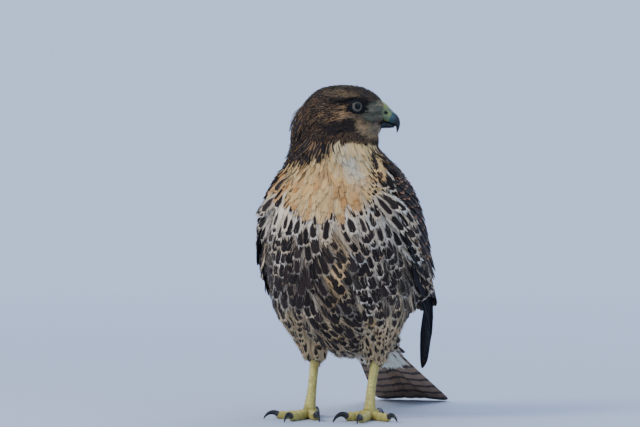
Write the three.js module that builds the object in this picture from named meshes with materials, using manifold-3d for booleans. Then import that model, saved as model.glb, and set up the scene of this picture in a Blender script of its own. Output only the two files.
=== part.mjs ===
// A life-size red-tailed hawk in its first-year plumage, standing upright with its head turned to its left.
// Millimetres, +Z up. The bird faces -Y, its left side is +X, and its toes and tail tip rest at Z = 0.
// The origin is on the floor, at the middle of the bird's bounding box.
import * as THREE from "three";
import { mergeVertices } from "three/addons/utils/BufferGeometryUtils.js";
import Module from "manifold-3d";

const wasm = await Module();
wasm.setup();

// Driving dimensions
const GAP = 0.4; // clear space between neighbouring pieces
const SLIVER = 0.02; // edges shorter than this are closed up
const AROUND = 22; // facets round the trunk
const LIMB_SIDES = 10;
const FLOOR_SHIFT_Y = -113; // brings the middle of the bounding box onto the origin

// Sections of the neck and trunk from inside the head down to the tail root, each square to the spine:
// spine x, y, z, half width, depth in front of the spine, depth behind it.
const TRUNK = [
  [6, 2, 318, 22, 20, 20],
  [1, 1, 303, 40, 36, 35],
  [-2, 0, 286, 47, 43, 42],
  [-2, 0, 269, 53, 50, 47],
  [0, 3, 250, 67, 60, 53],
  [0, 7, 228, 77, 69, 58],
  [0, 12, 202, 82, 74, 62],
  [0, 20, 173, 83, 76, 63],
  [0, 31, 145, 79, 74, 60],
  [0, 47, 120, 68, 63, 53],
  [0, 68, 102, 53, 47, 42],
  [0, 90, 90, 39, 31, 30],
  [0, 113, 79, 30, 19, 20],
  [0, 138, 66, 27, 11, 12],
  [0, 174, 49, 22, 3, 3],
];
const TRUNK_RINGS = 20;
const TAIL_ROOT_CUT = 0.815; // share of the trunk's run where the tail takes over
const NECK_TOP_Z = 289; // the head ends here at the spine
const NECK_TOP_TILT = 0.1; // the cut drops towards the chin
const NECK_BASE_Z = 256;
const NECK_BASE_TILT = -0.1;

// Head, in its own frame: x forward along the bill, y to the bird's left, z up, origin midway between the eyes.
const HEAD_AT = new THREE.Vector3(22.4, 4, 328.7);
const HEAD_TURN = THREE.MathUtils.degToRad(10); // from +X towards +Y
// Head sections: x, top, bottom, half width.
const HEAD = [
  [-70, -18, -36, 8],
  [-64, -5, -44, 19],
  [-53, 9, -46, 26],
  [-38, 18.6, -46, 29],
  [-22, 21.5, -45, 28.6],
  [-9, 21.4, -42, 25.5],
  [3, 19.6, -38, 22],
  [12, 15.8, -34, 19],
  [19, 11.4, -29.5, 15.6],
  [24.5, 7, -25, 12],
  [28.5, 2.8, -21.5, 9.2],
];
const EYE_RADIUS = 9.2;
const EYE_AT = [0.5, 14.8, -0.6]; // the left eye; the right one is its mirror image
const EYE_LOOK = new THREE.Vector3(0.5, 0.86, 0).normalize();
const LID_RADIUS = 6.6;
const LID_TUBE = 1.5;

// Bill sections along its downward hook: top x, top z, edge x, edge z, half width.
const CERE = [
  [26, 5, 20, -15.2, 10.2],
  [30.6, 1.4, 24.5, -15.9, 9.4],
  [34.2, -2.6, 28.6, -16.4, 8.6],
  [37.2, -5.8, 32.2, -17.2, 7.7],
];
const BILL = [
  [37.2, -5.8, 32.2, -17.2, 7.4],
  [41.2, -9.3, 35.6, -18.9, 6.5],
  [43.6, -13.6, 38.2, -20.6, 5.3],
  [44.4, -17.8, 39.8, -21.8, 4],
  [43.9, -21.6, 40.3, -23.6, 2.8],
  [42.8, -25, 40.5, -26, 1.6],
  [41.2, -28.2, 40.7, -28.3, 0.5],
];
// Lower mandible sections: x, top z, bottom z, half width.
const MANDIBLE = [
  [16, -15, -22.5, 8.4],
  [23, -15, -23.6, 8],
  [29, -15.4, -23.4, 7],
  [34, -17, -23.2, 5.6],
  [38.2, -19.4, -22.6, 3],
];
// The mouth's line on the head, behind the bill: x, z.
const MOUTH = [
  [10.6, -12.6],
  [15.4, -14.6],
  [24, -15.8],
];
const MOUTH_SLIT = 0.8;
const NOSTRIL_AT = [30.2, 8.2, -7.2];
const NOSTRIL_SIZE = [1.7, 2.2, 1.4];

// Folded left wing: its lower edge from the wrist to the tip, and its upper edge from the shoulder to the tip.
const WING_LOW = [
  [54, -32, 250],
  [75, -21, 211],
  [82, 0, 168],
  [84, 33, 129],
  [79, 82, 95],
  [62, 146, 62],
  [38, 214, 33],
];
const WING_TOP = [
  [32, 32, 264],
  [30, 60, 240],
  [24, 84, 202],
  [18, 100, 157],
  [15, 128, 122],
  [15, 172, 90],
  [21, 220, 45],
];
const WING_OUT = new THREE.Vector3(0.76, 0.53, 0.38); // the way that the wing bulges
const WING_BULGE = 27; // how far its middle stands out from the straight line between its edges
const SHOULDER_ROUND = 0.12; // share of the wing's length that rounds off its front end

const CORE_END = 0.5; // share of the wing's length where its solid arm ends and only feathers go on
const CORE_THICK = 1.2; // how far the arm stands out of the wing's surface
const ARM_DEPTH = 34; // how far it reaches in at the shoulder
const VANE_THICK = 0.7;
const RIB_HEIGHT = 0.35;
// Width of a vane along its length, as shares of its full half width.
const SHAPES = {
  covert: [0.6, 1, 0.86, 0.26],
  broad: [0.6, 1, 0.86, 0.26],
  flight: [0.55, 1, 0.84, 0.2],
  tail: [0.5, 0.95, 1, 0.5],
};
// Rows of feathers on the left wing. Each runs from the roots' s and t to the tips' s and t, both from the
// lower feather to the upper one, is so wide to a side, and rises by lift from its sunk root to its tip.
// Each feather lies stack higher than the one before, at the tip or, in a level row, all along, and is rolled
// to tuck its upper edge under the next.
const WING_ROWS = [
  { count: 5, root: [0.42, 0.46], across: [0.03, 0.26], tip: [0.76, 1], tipAcross: [0.18, 0.62],
    width: 9.8, sink: -9, lift: 1, stack: 1.7, roll: 0, shape: "flight", level: true },
  { count: 7, root: [0.35, 0.38], across: [0.22, 0.82], tip: [0.66, 0.73], tipAcross: [0.34, 0.87],
    width: 9.6, sink: -1.5, lift: 5, stack: 0.7, roll: 0.14, shape: "flight" },
  { count: 2, root: [0.34, 0.36], across: [-0.02, 0.08], tip: [0.52, 0.55], tipAcross: [0.02, 0.14],
    width: 8, sink: -1.5, lift: 4.5, stack: 0, roll: 0.16, shape: "covert" },
  { count: 7, root: [0.25, 0.27], across: [0.08, 0.76], tip: [0.47, 0.49], tipAcross: [0.12, 0.8],
    width: 9, sink: -1.5, lift: 7.5, stack: 0.7, roll: 0.13, shape: "covert" },
  { count: 6, root: [0.18, 0.19], across: [0.06, 0.72], tip: [0.36, 0.37], tipAcross: [0.08, 0.74],
    width: 10, sink: -1.5, lift: 7, stack: 0.2, roll: 0.12, shape: "covert" },
  { count: 5, root: [0.11, 0.12], across: [0.1, 0.7], tip: [0.27, 0.28], tipAcross: [0.08, 0.7],
    width: 11.5, sink: -1.5, lift: 7, stack: 0, roll: 0.12, shape: "covert" },
  { count: 4, root: [0.04, 0.05], across: [0.16, 0.68], tip: [0.18, 0.19], tipAcross: [0.1, 0.68],
    width: 13, sink: -1.5, lift: 6.5, stack: 0.5, roll: 0.13, shape: "covert" },
  { count: 3, root: [0.004, 0.02], across: [0.28, 0.66], tip: [0.11, 0.12], tipAcross: [0.2, 0.72],
    width: 14, sink: -1.5, lift: 5.5, stack: 1.2, roll: 0.1, shape: "broad" },
];
// Rows of shoulder feathers along the wing's upper edge, over the others.
const SCAPULAR_ROWS = [
  { count: 2, root: [0.33, 0.34], across: [0.9, 0.98], tip: [0.52, 0.57], tipAcross: [0.86, 1],
    width: 11, sink: -1.5, lift: 13, stack: 3, roll: 0, shape: "covert" },
  { count: 2, root: [0.18, 0.19], across: [0.89, 0.98], tip: [0.37, 0.39], tipAcross: [0.86, 1.02],
    width: 12, sink: -1.5, lift: 12, stack: 2.8, roll: 0, shape: "covert" },
  { count: 2, root: [0.04, 0.05], across: [0.86, 0.96], tip: [0.24, 0.25], tipAcross: [0.86, 1],
    width: 11, sink: -1.5, lift: 11, stack: 3, roll: 0, shape: "covert" },
];

// Tail: the feathers fan from the root down to the floor.
const TAIL_ROOT = [0, 96, 88];
const TAIL_TIP_Y = 286;
const TAIL_HALF_ROOT = 21;
const TAIL_HALF_TIP = 39;
const TAIL_THICK = 5;
const TAIL_PAIRS = 6;
const TAIL_FEATHER = 13; // half width of a tail feather
const TAIL_STACK = 1.4; // each pair lies so much over the next one out
const TAIL_COVERTS = [
  { count: 4, root: 0.04, tip: 0.4, spread: 15, width: 10, lift: 8 },
  { count: 3, root: -0.04, tip: 0.27, spread: 12, width: 10, lift: 10 },
];

// Legs: x is mirrored for the right leg. Thigh sections: x, y, z, half width, half depth.
const THIGH = [
  [42, 2, 150, 30, 36],
  [43, 8, 124, 30, 36],
  [40, 17, 100, 25, 30],
  [36, 25, 80, 18, 21],
  [34, 27, 66, 13, 15],
  [33.5, 27, 58, 9.5, 10.5],
];
const ANKLE = [33.8, 29, 70]; // the shank's top, inside the thigh
const FOOT = [33, 6, 9];
const SHANK_RADIUS = 5.2;
const TOES = [
  // name, heading from -Y towards the outside in degrees, length, radius, claw length
  ["inner", -30, 32, 5, 24],
  ["middle", 6, 47, 4.8, 21],
  ["outer", 52, 36, 4.4, 18],
  ["hind", 176, 22, 5, 26],
];
const HUB_RADIUS = 8.5;
const CLAW_ROOT_Z = 5.6;
const SCUTE_RISE = 0.6; // how far a scute's free edge stands out
const SCUTE_LEDGE = 0.012; // length of the ledge under that edge, as a share of the limb
const SHANK_SCUTES = { from: 0.26, to: 0.68, count: 6, outward: new THREE.Vector3(0, -1, 0) };
const TOE_SCUTES = { from: 0.38, to: 0.94, count: 3, outward: new THREE.Vector3(0, 0, 1) };

const colours = {
  plumage: [0x8a7560, 0.9],
  breast: [0xcdb48c, 0.9],
  flight: [0x4a3b30, 0.8],
  eye: [0x9a9a8e, 0.15],
  cere: [0x9aa05a, 0.5],
  horn: [0x1d2430, 0.35],
  leg: [0xb9a63f, 0.6],
};

// A smooth value between rows of a table, for t from 0 to 1, and straight on beyond its ends.
function between(rows, t) {
  if (t < 0 || t > 1) {
    const [end, near] = t < 0 ? [0, 0.02] : [1, 0.98];
    const [last, before] = [between(rows, end), between(rows, near)];
    return last.map((value, c) => value + ((value - before[c]) * Math.abs(t - end)) / 0.02);
  }
  const at = t * (rows.length - 1);
  const i = Math.min(Math.floor(at), rows.length - 2);
  const f = at - i;
  const row = (k) => rows[Math.min(Math.max(k, 0), rows.length - 1)];
  return rows[0].map((_, c) => {
    const [a, b, d, e] = [row(i - 1)[c], row(i)[c], row(i + 1)[c], row(i + 2)[c]];
    return b + 0.5 * f * (d - a + f * (2 * a - 5 * b + 4 * d - e + f * (3 * (b - d) + e - a)));
  });
}

// A closed body through rings of equal count. flipped(k) turns the diagonal of the face after ring point k.
function loft(rings, flipped = () => false) {
  const count = rings[0].length;
  const positions = rings.flat().flatMap((p) => [p.x, p.y, p.z]);
  const index = [];
  rings.slice(1).forEach((_, r) => {
    const [a, b] = [r * count, (r + 1) * count];
    for (let k = 0; k < count; k++) {
      const n = (k + 1) % count;
      if (flipped(k)) index.push(a + k, a + n, b + k, a + n, b + n, b + k);
      else index.push(a + k, a + n, b + n, a + k, b + n, b + k);
    }
  });
  const cap = (ring, base, reversed) => {
    const middle = new THREE.Vector3();
    ring.forEach((p) => middle.addScaledVector(p, 1 / count));
    const m = positions.length / 3;
    positions.push(middle.x, middle.y, middle.z);
    for (let k = 0; k < count; k++) {
      const n = (k + 1) % count;
      index.push(m, base + (reversed ? n : k), base + (reversed ? k : n));
    }
  };
  cap(rings[0], 0, true);
  cap(rings.at(-1), (rings.length - 1) * count, false);
  const made = new THREE.BufferGeometry();
  made.setAttribute("position", new THREE.BufferAttribute(new Float32Array(positions), 3));
  made.setIndex(index);
  return solid(made);
}

// A three.js geometry as a solid with its faces pointing out.
function solid(geometry) {
  const bare = geometry.clone();
  bare.deleteAttribute("normal");
  bare.deleteAttribute("uv");
  const merged = mergeVertices(bare, 1e-4);
  const triVerts = new Uint32Array(merged.index.array);
  const mesh = { numProp: 3, vertProperties: merged.attributes.position.array, triVerts };
  const made = new wasm.Manifold(new wasm.Mesh(mesh));
  if (made.volume() > 0) return made;
  for (let i = 0; i < triVerts.length; i += 3) {
    [triVerts[i + 1], triVerts[i + 2]] = [triVerts[i + 2], triVerts[i + 1]];
  }
  return new wasm.Manifold(new wasm.Mesh(mesh));
}

const largest = (made) =>
  made.decompose().reduce((best, one) => (one.volume() > best.volume() ? one : best));
const joined = (pieces) => pieces.reduce((all, one) => all.add(one));

// The same small variations in every build.
let seed = 7;
function random() {
  seed = (seed * 16807) % 2147483647;
  return seed / 2147483647;
}
const mirrored = (made) => made.mirror([1, 0, 0]);

// A ring of points round a centre, along two half axes.
function ellipse(centre, across, up, sides, power = 1) {
  return Array.from({ length: sides }, (_, k) => {
    const angle = (2 * Math.PI * k) / sides;
    const [c, s] = [Math.cos(angle), Math.sin(angle)];
    const round = (v) => Math.sign(v) * Math.abs(v) ** power;
    return centre.clone().addScaledVector(across, round(c)).addScaledVector(up, round(s));
  });
}

const vec = (p) => new THREE.Vector3(p[0], p[1], p[2]);

// The trunk's section at share t of its run: centre, direction to the back, and the half sizes grown by extra.
function trunkSection(t, extra) {
  const step = 0.01;
  const [x, y, z, width, front, back] = between(TRUNK, t);
  const [, y0, z0] = between(TRUNK, Math.max(t - step, 0));
  const [, y1, z1] = between(TRUNK, Math.min(t + step, 1));
  const along = new THREE.Vector3(0, y1 - y0, z1 - z0).normalize();
  const toBack = new THREE.Vector3(0, -along.z, along.y);
  return { centre: vec([x, y, z]), along, toBack, width: width + extra, front: front + extra, back: back + extra };
}

// Neck, body and rump in one form.
function trunk(extra = 0) {
  const rings = Array.from({ length: TRUNK_RINGS + 1 }, (_, r) => {
    const { centre, toBack, width, front, back } = trunkSection(r / TRUNK_RINGS, extra);
    return Array.from({ length: AROUND }, (_, k) => {
      const angle = (2 * Math.PI * k) / AROUND;
      const depth = -Math.cos(angle) * (Math.cos(angle) > 0 ? front : back);
      return centre.clone().addScaledVector(toBack, depth).setX(centre.x + Math.sin(angle) * width);
    });
  });
  return loft(rings);
}

// From the head's own frame to the bird's.
const headFrame = new THREE.Matrix4().makeRotationZ(HEAD_TURN).setPosition(HEAD_AT);

function skull() {
  const steps = 12;
  return loft(
    Array.from({ length: steps + 1 }, (_, r) => {
      const [x, top, bottom, width] = between(HEAD, r / steps);
      const middle = vec([x, 0, (top + bottom) / 2]);
      const ring = ellipse(middle, vec([0, width, 0]), vec([0, 0, (top - bottom) / 2]), 18, 0.88);
      return ring.map((p) => p.applyMatrix4(headFrame));
    }),
  );
}

// A sphere or ellipsoid placed in the head's frame.
function ball(radius, at, scale = [1, 1, 1], detail = 10) {
  const made = new THREE.SphereGeometry(radius, detail, detail / 2);
  made.scale(...scale);
  made.translate(...at);
  return solid(made.applyMatrix4(headFrame));
}

// The brow that overhangs one eye, from the lore to behind the eye.
function brow(side) {
  const rows = [
    [18, 11.4, 5.6, 1.4],
    [11, 16.4, 7.6, 3],
    [2, 19.6, 9, 3.8],
    [-8, 21.8, 9, 3.6],
    [-18, 23.6, 7.4, 2],
  ];
  const steps = 6;
  return loft(
    Array.from({ length: steps + 1 }, (_, r) => {
      const [x, y, z, radius] = between(rows, r / steps);
      const ring = ellipse(vec([x, y * side, z]), vec([0, radius * 1.3, 0]), vec([0, 0, radius * 0.72]), 6);
      return ring.map((p) => p.applyMatrix4(headFrame));
    }),
  );
}

// The rim of lids round one eye.
function lids(side) {
  const look = EYE_LOOK.clone().multiply(new THREE.Vector3(1, side, 1));
  const centre = vec([EYE_AT[0], EYE_AT[1] * side, EYE_AT[2]]).addScaledVector(look, EYE_RADIUS * 0.72);
  const made = new THREE.TorusGeometry(LID_RADIUS, LID_TUBE, 4, 10);
  made.applyQuaternion(new THREE.Quaternion().setFromUnitVectors(new THREE.Vector3(0, 0, 1), look));
  made.translate(centre.x, centre.y, centre.z);
  return solid(made.applyMatrix4(headFrame));
}

// A bill section: a ring that is widest low down and narrow at the culmen.
function billRing([topX, topZ, edgeX, edgeZ, width], grow = 0) {
  const [top, edge] = [vec([topX, 0, topZ]), vec([edgeX, 0, edgeZ])];
  const rise = top.clone().sub(edge);
  const long = rise.length();
  rise.normalize();
  const sides = 10;
  return Array.from({ length: sides }, (_, k) => {
    const angle = (2 * Math.PI * k) / sides;
    const up = (1 - Math.cos(angle)) / 2;
    const out = Math.sin(angle) * (1 - 0.34 * up) * (width + grow);
    const height = up * (long + 2 * grow) - grow;
    return edge.clone().addScaledVector(rise, height).setY(out).applyMatrix4(headFrame);
  });
}

const billBody = (rows, grow) => {
  const steps = rows.length + 1;
  return loft(Array.from({ length: steps + 1 }, (_, r) => billRing(between(rows, r / steps), grow)));
};

function mandible(grow = 0) {
  const steps = 4;
  return loft(
    Array.from({ length: steps + 1 }, (_, r) => {
      const [x, top, bottom, width] = between(MANDIBLE, r / steps);
      const up = vec([0, 0, (top - bottom) / 2 + grow]);
      const ring = ellipse(vec([x, 0, (top + bottom) / 2]), vec([0, width + grow, 0]), up, 10, 0.85);
      return ring.map((p) => p.applyMatrix4(headFrame));
    }),
  );
}

// A thin slab along the mouth's line on one side of the head.
function mouth(side) {
  const rings = MOUTH.map(([x, z]) =>
    [[10, 1], [26, 1], [26, -1], [10, -1]].map(([y, face]) =>
      vec([x, y * side, z + (face * MOUTH_SLIT) / 2]).applyMatrix4(headFrame),
    ),
  );
  return loft(rings);
}

// A point on the left wing: s runs from the shoulder to the tip, t from the lower edge to the upper one.
function wingPoint(s, t, out = 0) {
  const at = (u, w) => {
    const [low, high] = [vec(between(WING_LOW, u)), vec(between(WING_TOP, u))];
    const share = Math.min(Math.max(w, 0), 1);
    const run = Math.min(Math.max(u, 0), 1);
    const swell = WING_BULGE * Math.sin(Math.PI * (0.2 + 0.8 * run)) ** 0.8 * (4 * share * (1 - share)) ** 0.8;
    return low.lerp(high, w).addScaledVector(WING_OUT, swell);
  };
  const step = 0.01;
  const p = at(s, t);
  const down = at(Math.min(s + step, 1), t).sub(at(Math.max(s - step, 0), t));
  const over = at(s, Math.min(t + step, 0.99)).sub(at(s, Math.max(t - step, 0.01)));
  const normal = down.cross(over).normalize();
  if (normal.dot(WING_OUT) < 0) normal.negate();
  return { p: p.addScaledVector(normal, out), normal };
}

// A feather on a surface: it runs from one place to another, given as shares along and across, each side half
// wide in millimetres. height(u) is how far it stands off at share u of its length. Both faces are split alike.
// A covert is flat across, and the other shapes have a middle line, which in flight feathers is a raised shaft.
function vane(surface, from, to, half, shape, height, roll) {
  const widths = SHAPES[shape];
  const last = widths.length - 1;
  const rise = shape === "flight" || shape === "tail" ? RIB_HEIGHT : 0;
  const slide = [to[0] - from[0], to[1] - from[1]];
  const rings = widths.map((share, r) => {
    const u = r / last;
    const [s, t] = [from[0] + slide[0] * u, from[1] + slide[1] * u];
    const step = 0.01;
    const ps = surface(s + step, t, 0).p.sub(surface(s - step, t, 0).p).divideScalar(2 * step);
    const pt = surface(s, t + step, 0).p.sub(surface(s, t - step, 0).p).divideScalar(2 * step);
    const along = ps.clone().multiplyScalar(slide[0]).addScaledVector(pt, slide[1]);
    const turn = [-along.dot(pt), along.dot(ps)];
    const long = ps.clone().multiplyScalar(turn[0]).addScaledVector(pt, turn[1]).length();
    const place = (side, face, rib) => {
      const reach = (side * half * share) / long;
      const off = height(u) - side * roll * half * share;
      const { p, normal } = surface(s + turn[0] * reach, t + turn[1] * reach, off);
      return p.addScaledVector(normal, face * (VANE_THICK / 2) * (1 - 0.25 * u) + rib * rise * (1 - u));
    };
    if (shape === "covert") return [place(-1, 1, 0), place(1, 1, 0), place(1, -1, 0), place(-1, -1, 0)];
    return [place(-1, 1, 0), place(0, 1, 1), place(1, 1, 0), place(1, -1, 0), place(0, -1, 0), place(-1, -1, 0)];
  });
  return loft(rings, shape === "covert" ? (k) => k === 2 : (k) => k === 3 || k === 4);
}

// A row of feathers side by side on the wing.
function wingRow({ count, root, across, tip, tipAcross, width, sink, lift, stack, roll, shape, level = false }) {
  const mix = ([a, b], f) => a + (b - a) * f;
  return Array.from({ length: count }, (_, k) => {
    const f = count > 1 ? k / (count - 1) : 0.5;
    const [jitterS, jitterT] = [(random() - 0.5) * 0.012, (random() - 0.5) * 0.015];
    const half = width * (0.95 + 0.1 * random());
    const height = (u) => sink + lift * u ** 0.75 + stack * k * (level ? 1 : u);
    const from = [mix(root, f), mix(across, f)];
    const to = [mix(tip, f) + jitterS, mix(tipAcross, f) + jitterT];
    return vane(wingPoint, from, to, half, shape, height, roll);
  });
}

// The solid arm of the wing. Its inner side reaches in, to meet the trunk that it is cut by.
function wingArm(end, thickness, steps, sides) {
  return loft(
    Array.from({ length: steps + 1 }, (_, r) => {
      const s = (r / steps) ** 1.15 * end;
      const round = Math.min(1, 0.25 + Math.sqrt(1 - (1 - Math.min(s / SHOULDER_ROUND, 1)) ** 2));
      const thick = thickness * (1 - 0.6 * s) * round;
      const inner = thick + ARM_DEPTH * Math.max(0, 1 - s / 0.62) ** 0.5;
      return Array.from({ length: sides }, (_, k) => {
        const angle = (2 * Math.PI * k) / sides;
        const out = Math.sin(angle) > 0 ? thick * Math.sin(angle) : inner * Math.sin(angle);
        return wingPoint(s, 0.5 - 0.5 * round * Math.cos(angle), out).p;
      });
    }),
  );
}

// A point on the tail: f runs from the root to the tips, x is across in tail widths, from the left outer edge.
function tailPoint(f, x, out = 0) {
  const at = (u) => {
    const y = TAIL_ROOT[1] + (TAIL_TIP_Y - TAIL_ROOT[1]) * u;
    const z = TAIL_ROOT[2] * Math.max(1 - u, 0) ** 1.06 + TAIL_THICK * 0.1;
    return new THREE.Vector3(0, y, z);
  };
  const step = 0.01;
  const slope = at(f + step).sub(at(f - step));
  const normal = new THREE.Vector3(0, -slope.z, slope.y).normalize();
  const half = TAIL_HALF_ROOT + (TAIL_HALF_TIP - TAIL_HALF_ROOT) * f;
  const p = at(f).setX(x * half).addScaledVector(normal, out);
  return { p: p.setZ(Math.max(p.z, 0)), normal };
}

// The solid root of the tail.
function tailRoot(end, thickness, steps) {
  return loft(
    Array.from({ length: steps + 1 }, (_, r) => {
      const f = (end * r) / steps;
      const thick = thickness * (1 - 0.4 * f);
      return Array.from({ length: 12 }, (_, k) => {
        const angle = (2 * Math.PI * k) / 12;
        return tailPoint(f, Math.cos(angle), thick * Math.sin(angle)).p;
      });
    }),
  );
}

// The tail feathers in pairs, from the outer one up to the middle one, and the short feathers over their roots.
function tailFeathers() {
  const pieces = [];
  for (let pair = 0; pair < TAIL_PAIRS; pair++) {
    const inwards = pair / (TAIL_PAIRS - 1); // 0 for the outer pair, 1 for the middle one
    for (const side of [-1, 1]) {
      const over = pair === TAIL_PAIRS - 1 && side > 0 ? TAIL_STACK : 0;
      const height = (u) => TAIL_STACK * pair + over - 2 * (1 - u);
      const middle = pair === TAIL_PAIRS - 1;
      const from = [0.05, side * (middle ? 0.1 : 0.45 - 0.1 * inwards)];
      const to = [1 - 0.02 * (1 - inwards), side * (middle ? 0.1 : 0.84 - 0.45 * inwards)];
      pieces.push(vane(tailPoint, from, to, TAIL_FEATHER, "tail", height, side * -0.05));
    }
  }
  for (const { count, root, tip, spread, width, lift } of TAIL_COVERTS) {
    for (let k = 0; k < count; k++) {
      const side = count > 1 ? (2 * k) / (count - 1) - 1 : 0;
      const from = [root, side * 0.4];
      const to = [tip, (side * spread) / TAIL_HALF_ROOT];
      const high = Math.abs(side) < 0.5 ? 1.2 : 0;
      pieces.push(vane(tailPoint, from, to, width, "covert", (u) => 2 + (lift + high) * u, side * 0.06));
    }
  }
  return pieces;
}

// A limb or toe: a round loft through rows of x, y, z, half width, half depth, square to its run. Scutes are
// steps in its surface where it faces outward: each plate rises to its far edge and ends in a small ledge.
function limb(rows, steps, sides = LIMB_SIDES, floor = -Infinity, scutes = null) {
  const stops = Array.from({ length: steps + 1 }, (_, r) => [r / steps, 0]);
  const { from, to, count, outward } = scutes ?? { from: 2, to: 2, count: 0 };
  const kept = stops.filter(([t]) => t < from - 0.03 || t > to + 0.03);
  for (let k = 0; k < count; k++) {
    const share = (edge) => from + ((to - from) * edge) / count;
    kept.push([share(k) + SCUTE_LEDGE, 0], [share(k + 1), SCUTE_RISE]);
  }
  kept.sort((one, two) => one[0] - two[0]);
  let side = null; // the ring before gives each ring its way across, so that the form isn't twisted
  return loft(
    kept.map(([t, rise]) => {
      const [x, y, z, width, depth] = between(rows, t);
      const along = vec(between(rows, Math.min(t + 0.02, 1)))
        .sub(vec(between(rows, Math.max(t - 0.02, 0))))
        .normalize();
      side ??= Math.abs(along.z) > 0.8 ? new THREE.Vector3(1, 0, 0) : new THREE.Vector3(0, 0, 1).cross(along);
      side.addScaledVector(along, -side.dot(along)).normalize();
      const across = side.clone();
      const up = along.clone().cross(across);
      const middle = vec([x, y, z]);
      const ring = ellipse(middle, across.multiplyScalar(width), up.multiplyScalar(depth), sides);
      return ring.map((p) => {
        const way = p.clone().sub(middle).normalize();
        if (rise && way.dot(outward) > 0.3) p.addScaledVector(way, rise);
        return p.setZ(Math.max(p.z, floor));
      });
    }),
  );
}

const toeHeading = (degrees) => {
  const a = THREE.MathUtils.degToRad(degrees);
  return new THREE.Vector3(Math.sin(a), -Math.cos(a), 0);
};

// Rows of one left toe, from under the shank to where its claw begins.
function toeRows([, heading, length, radius]) {
  const way = toeHeading(heading);
  const place = (share, z, r) => {
    const p = vec(FOOT).addScaledVector(way, length * share);
    return [p.x, p.y, z, r, r];
  };
  return [
    place(0.05, radius * 1.35, radius * 1.1),
    place(0.3, radius * 0.8, radius * 1.15),
    place(0.55, radius * 0.7, radius),
    place(0.8, radius * 0.72, radius * 1.05),
    place(1, radius * 0.8, radius * 0.78),
  ];
}

// Rows of the claw at the end of one left toe.
function clawRows([, heading, length, radius, claw]) {
  const way = toeHeading(heading);
  const start = vec(FOOT).addScaledVector(way, length);
  const arc = 1.75; // radians that the claw turns through
  const bend = claw / arc;
  const place = (share, r) => {
    const a = -0.55 + arc * share;
    const forward = bend * (Math.sin(a) - Math.sin(-0.55));
    const rise = bend * (Math.cos(a) - Math.cos(-0.55));
    const p = start.clone().addScaledVector(way, forward);
    return [p.x, p.y, CLAW_ROOT_Z + rise, r, r * 1.15];
  };
  return [0, 0.25, 0.5, 0.75, 1].map((share) => place(share, (radius * 0.62 * (1 - share) ** 0.8) + 0.35));
}

const hawk = new THREE.Group();
hawk.position.set(0, FLOOR_SHIFT_Y, 0);

// Adds one solid to the bird as a named mesh, without slivers.
function show(name, made, look) {
  const { vertProperties, triVerts } = largest(made).simplify(SLIVER).getMesh();
  const geometry = new THREE.BufferGeometry();
  geometry.setAttribute("position", new THREE.BufferAttribute(vertProperties, 3));
  geometry.setIndex(new THREE.BufferAttribute(triVerts, 1));
  geometry.computeVertexNormals();
  const [color, roughness] = colours[look];
  const mesh = new THREE.Mesh(geometry, new THREE.MeshStandardMaterial({ color, roughness, metalness: 0 }));
  mesh.name = name;
  hawk.add(mesh);
}

// Trunk, neck and head are one form, parted by thin cuts
const cereSolid = billBody(CERE, 0);
const billSolid = billBody(BILL, 0);
const mandibleSolid = mandible().subtract(billBody(CERE, GAP)).subtract(billBody(BILL, GAP));
const whole = joined([trunk(), skull(), brow(1), brow(-1)]);
const level = (z, tilt) => {
  const normal = new THREE.Vector3(tilt, 0, 1).normalize();
  return { normal: normal.toArray(), offset: normal.z * z };
};
const above = (made, cut) => made.trimByPlane(cut.normal, cut.offset + GAP / 2);
const below = (made, cut) => made.trimByPlane(cut.normal.map((v) => -v), -(cut.offset - GAP / 2));
const neckTop = level(NECK_TOP_Z, NECK_TOP_TILT);
const neckBase = level(NECK_BASE_Z, NECK_BASE_TILT);
const tailSection = trunkSection(TAIL_ROOT_CUT, 0);
const tailCut = { normal: tailSection.along.toArray(), offset: tailSection.along.dot(tailSection.centre) };

const eyes = [1, -1].map((side) => [side, [EYE_AT[0], EYE_AT[1] * side, EYE_AT[2]]]);
let head = above(whole, neckTop);
for (const [side, at] of eyes) {
  head = head.add(lids(side)).subtract(ball(EYE_RADIUS + GAP, at));
}
const openings = [billBody(CERE, GAP), mandible(GAP), mouth(1), mouth(-1)];
head = head.subtract(joined(openings));
show("head", head, "plumage");
show("neck", below(above(whole, neckBase), neckTop), "plumage");
show("torso", below(below(whole, neckBase), tailCut), "breast");
eyes.forEach(([side, at]) => show(side > 0 ? "eye_left" : "eye_right", ball(EYE_RADIUS, at), "eye"));

const nostrils = [1, -1].map((side) =>
  ball(1, [NOSTRIL_AT[0], NOSTRIL_AT[1] * side, NOSTRIL_AT[2]], NOSTRIL_SIZE, 8),
);
show("cere", cereSolid.subtract(joined(nostrils)).subtract(billBody(BILL, GAP)), "cere");
show("bill_upper", billSolid, "horn");
show("bill_lower", mandibleSolid, "horn");

const trunkClear = trunk(GAP);
const sides = [
  ["left", (made) => made],
  ["right", mirrored],
];
const wingFeathers = [...WING_ROWS, ...SCAPULAR_ROWS].flatMap(wingRow);
const wing = joined([wingArm(CORE_END, CORE_THICK, 5, 10), ...wingFeathers]);
const wings = sides.map(([side, placed]) => [side, largest(placed(wing).subtract(trunkClear))]);
const bothWings = joined(wings.map(([, made]) => made));
wings.forEach(([side, made]) => show(`wing_${side}`, made, "flight"));
const tail = joined([trunk(), tailRoot(0.3, TAIL_THICK, 4), ...tailFeathers()]);
show("tail", above(tail, tailCut).subtract(bothWings), "flight");

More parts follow.
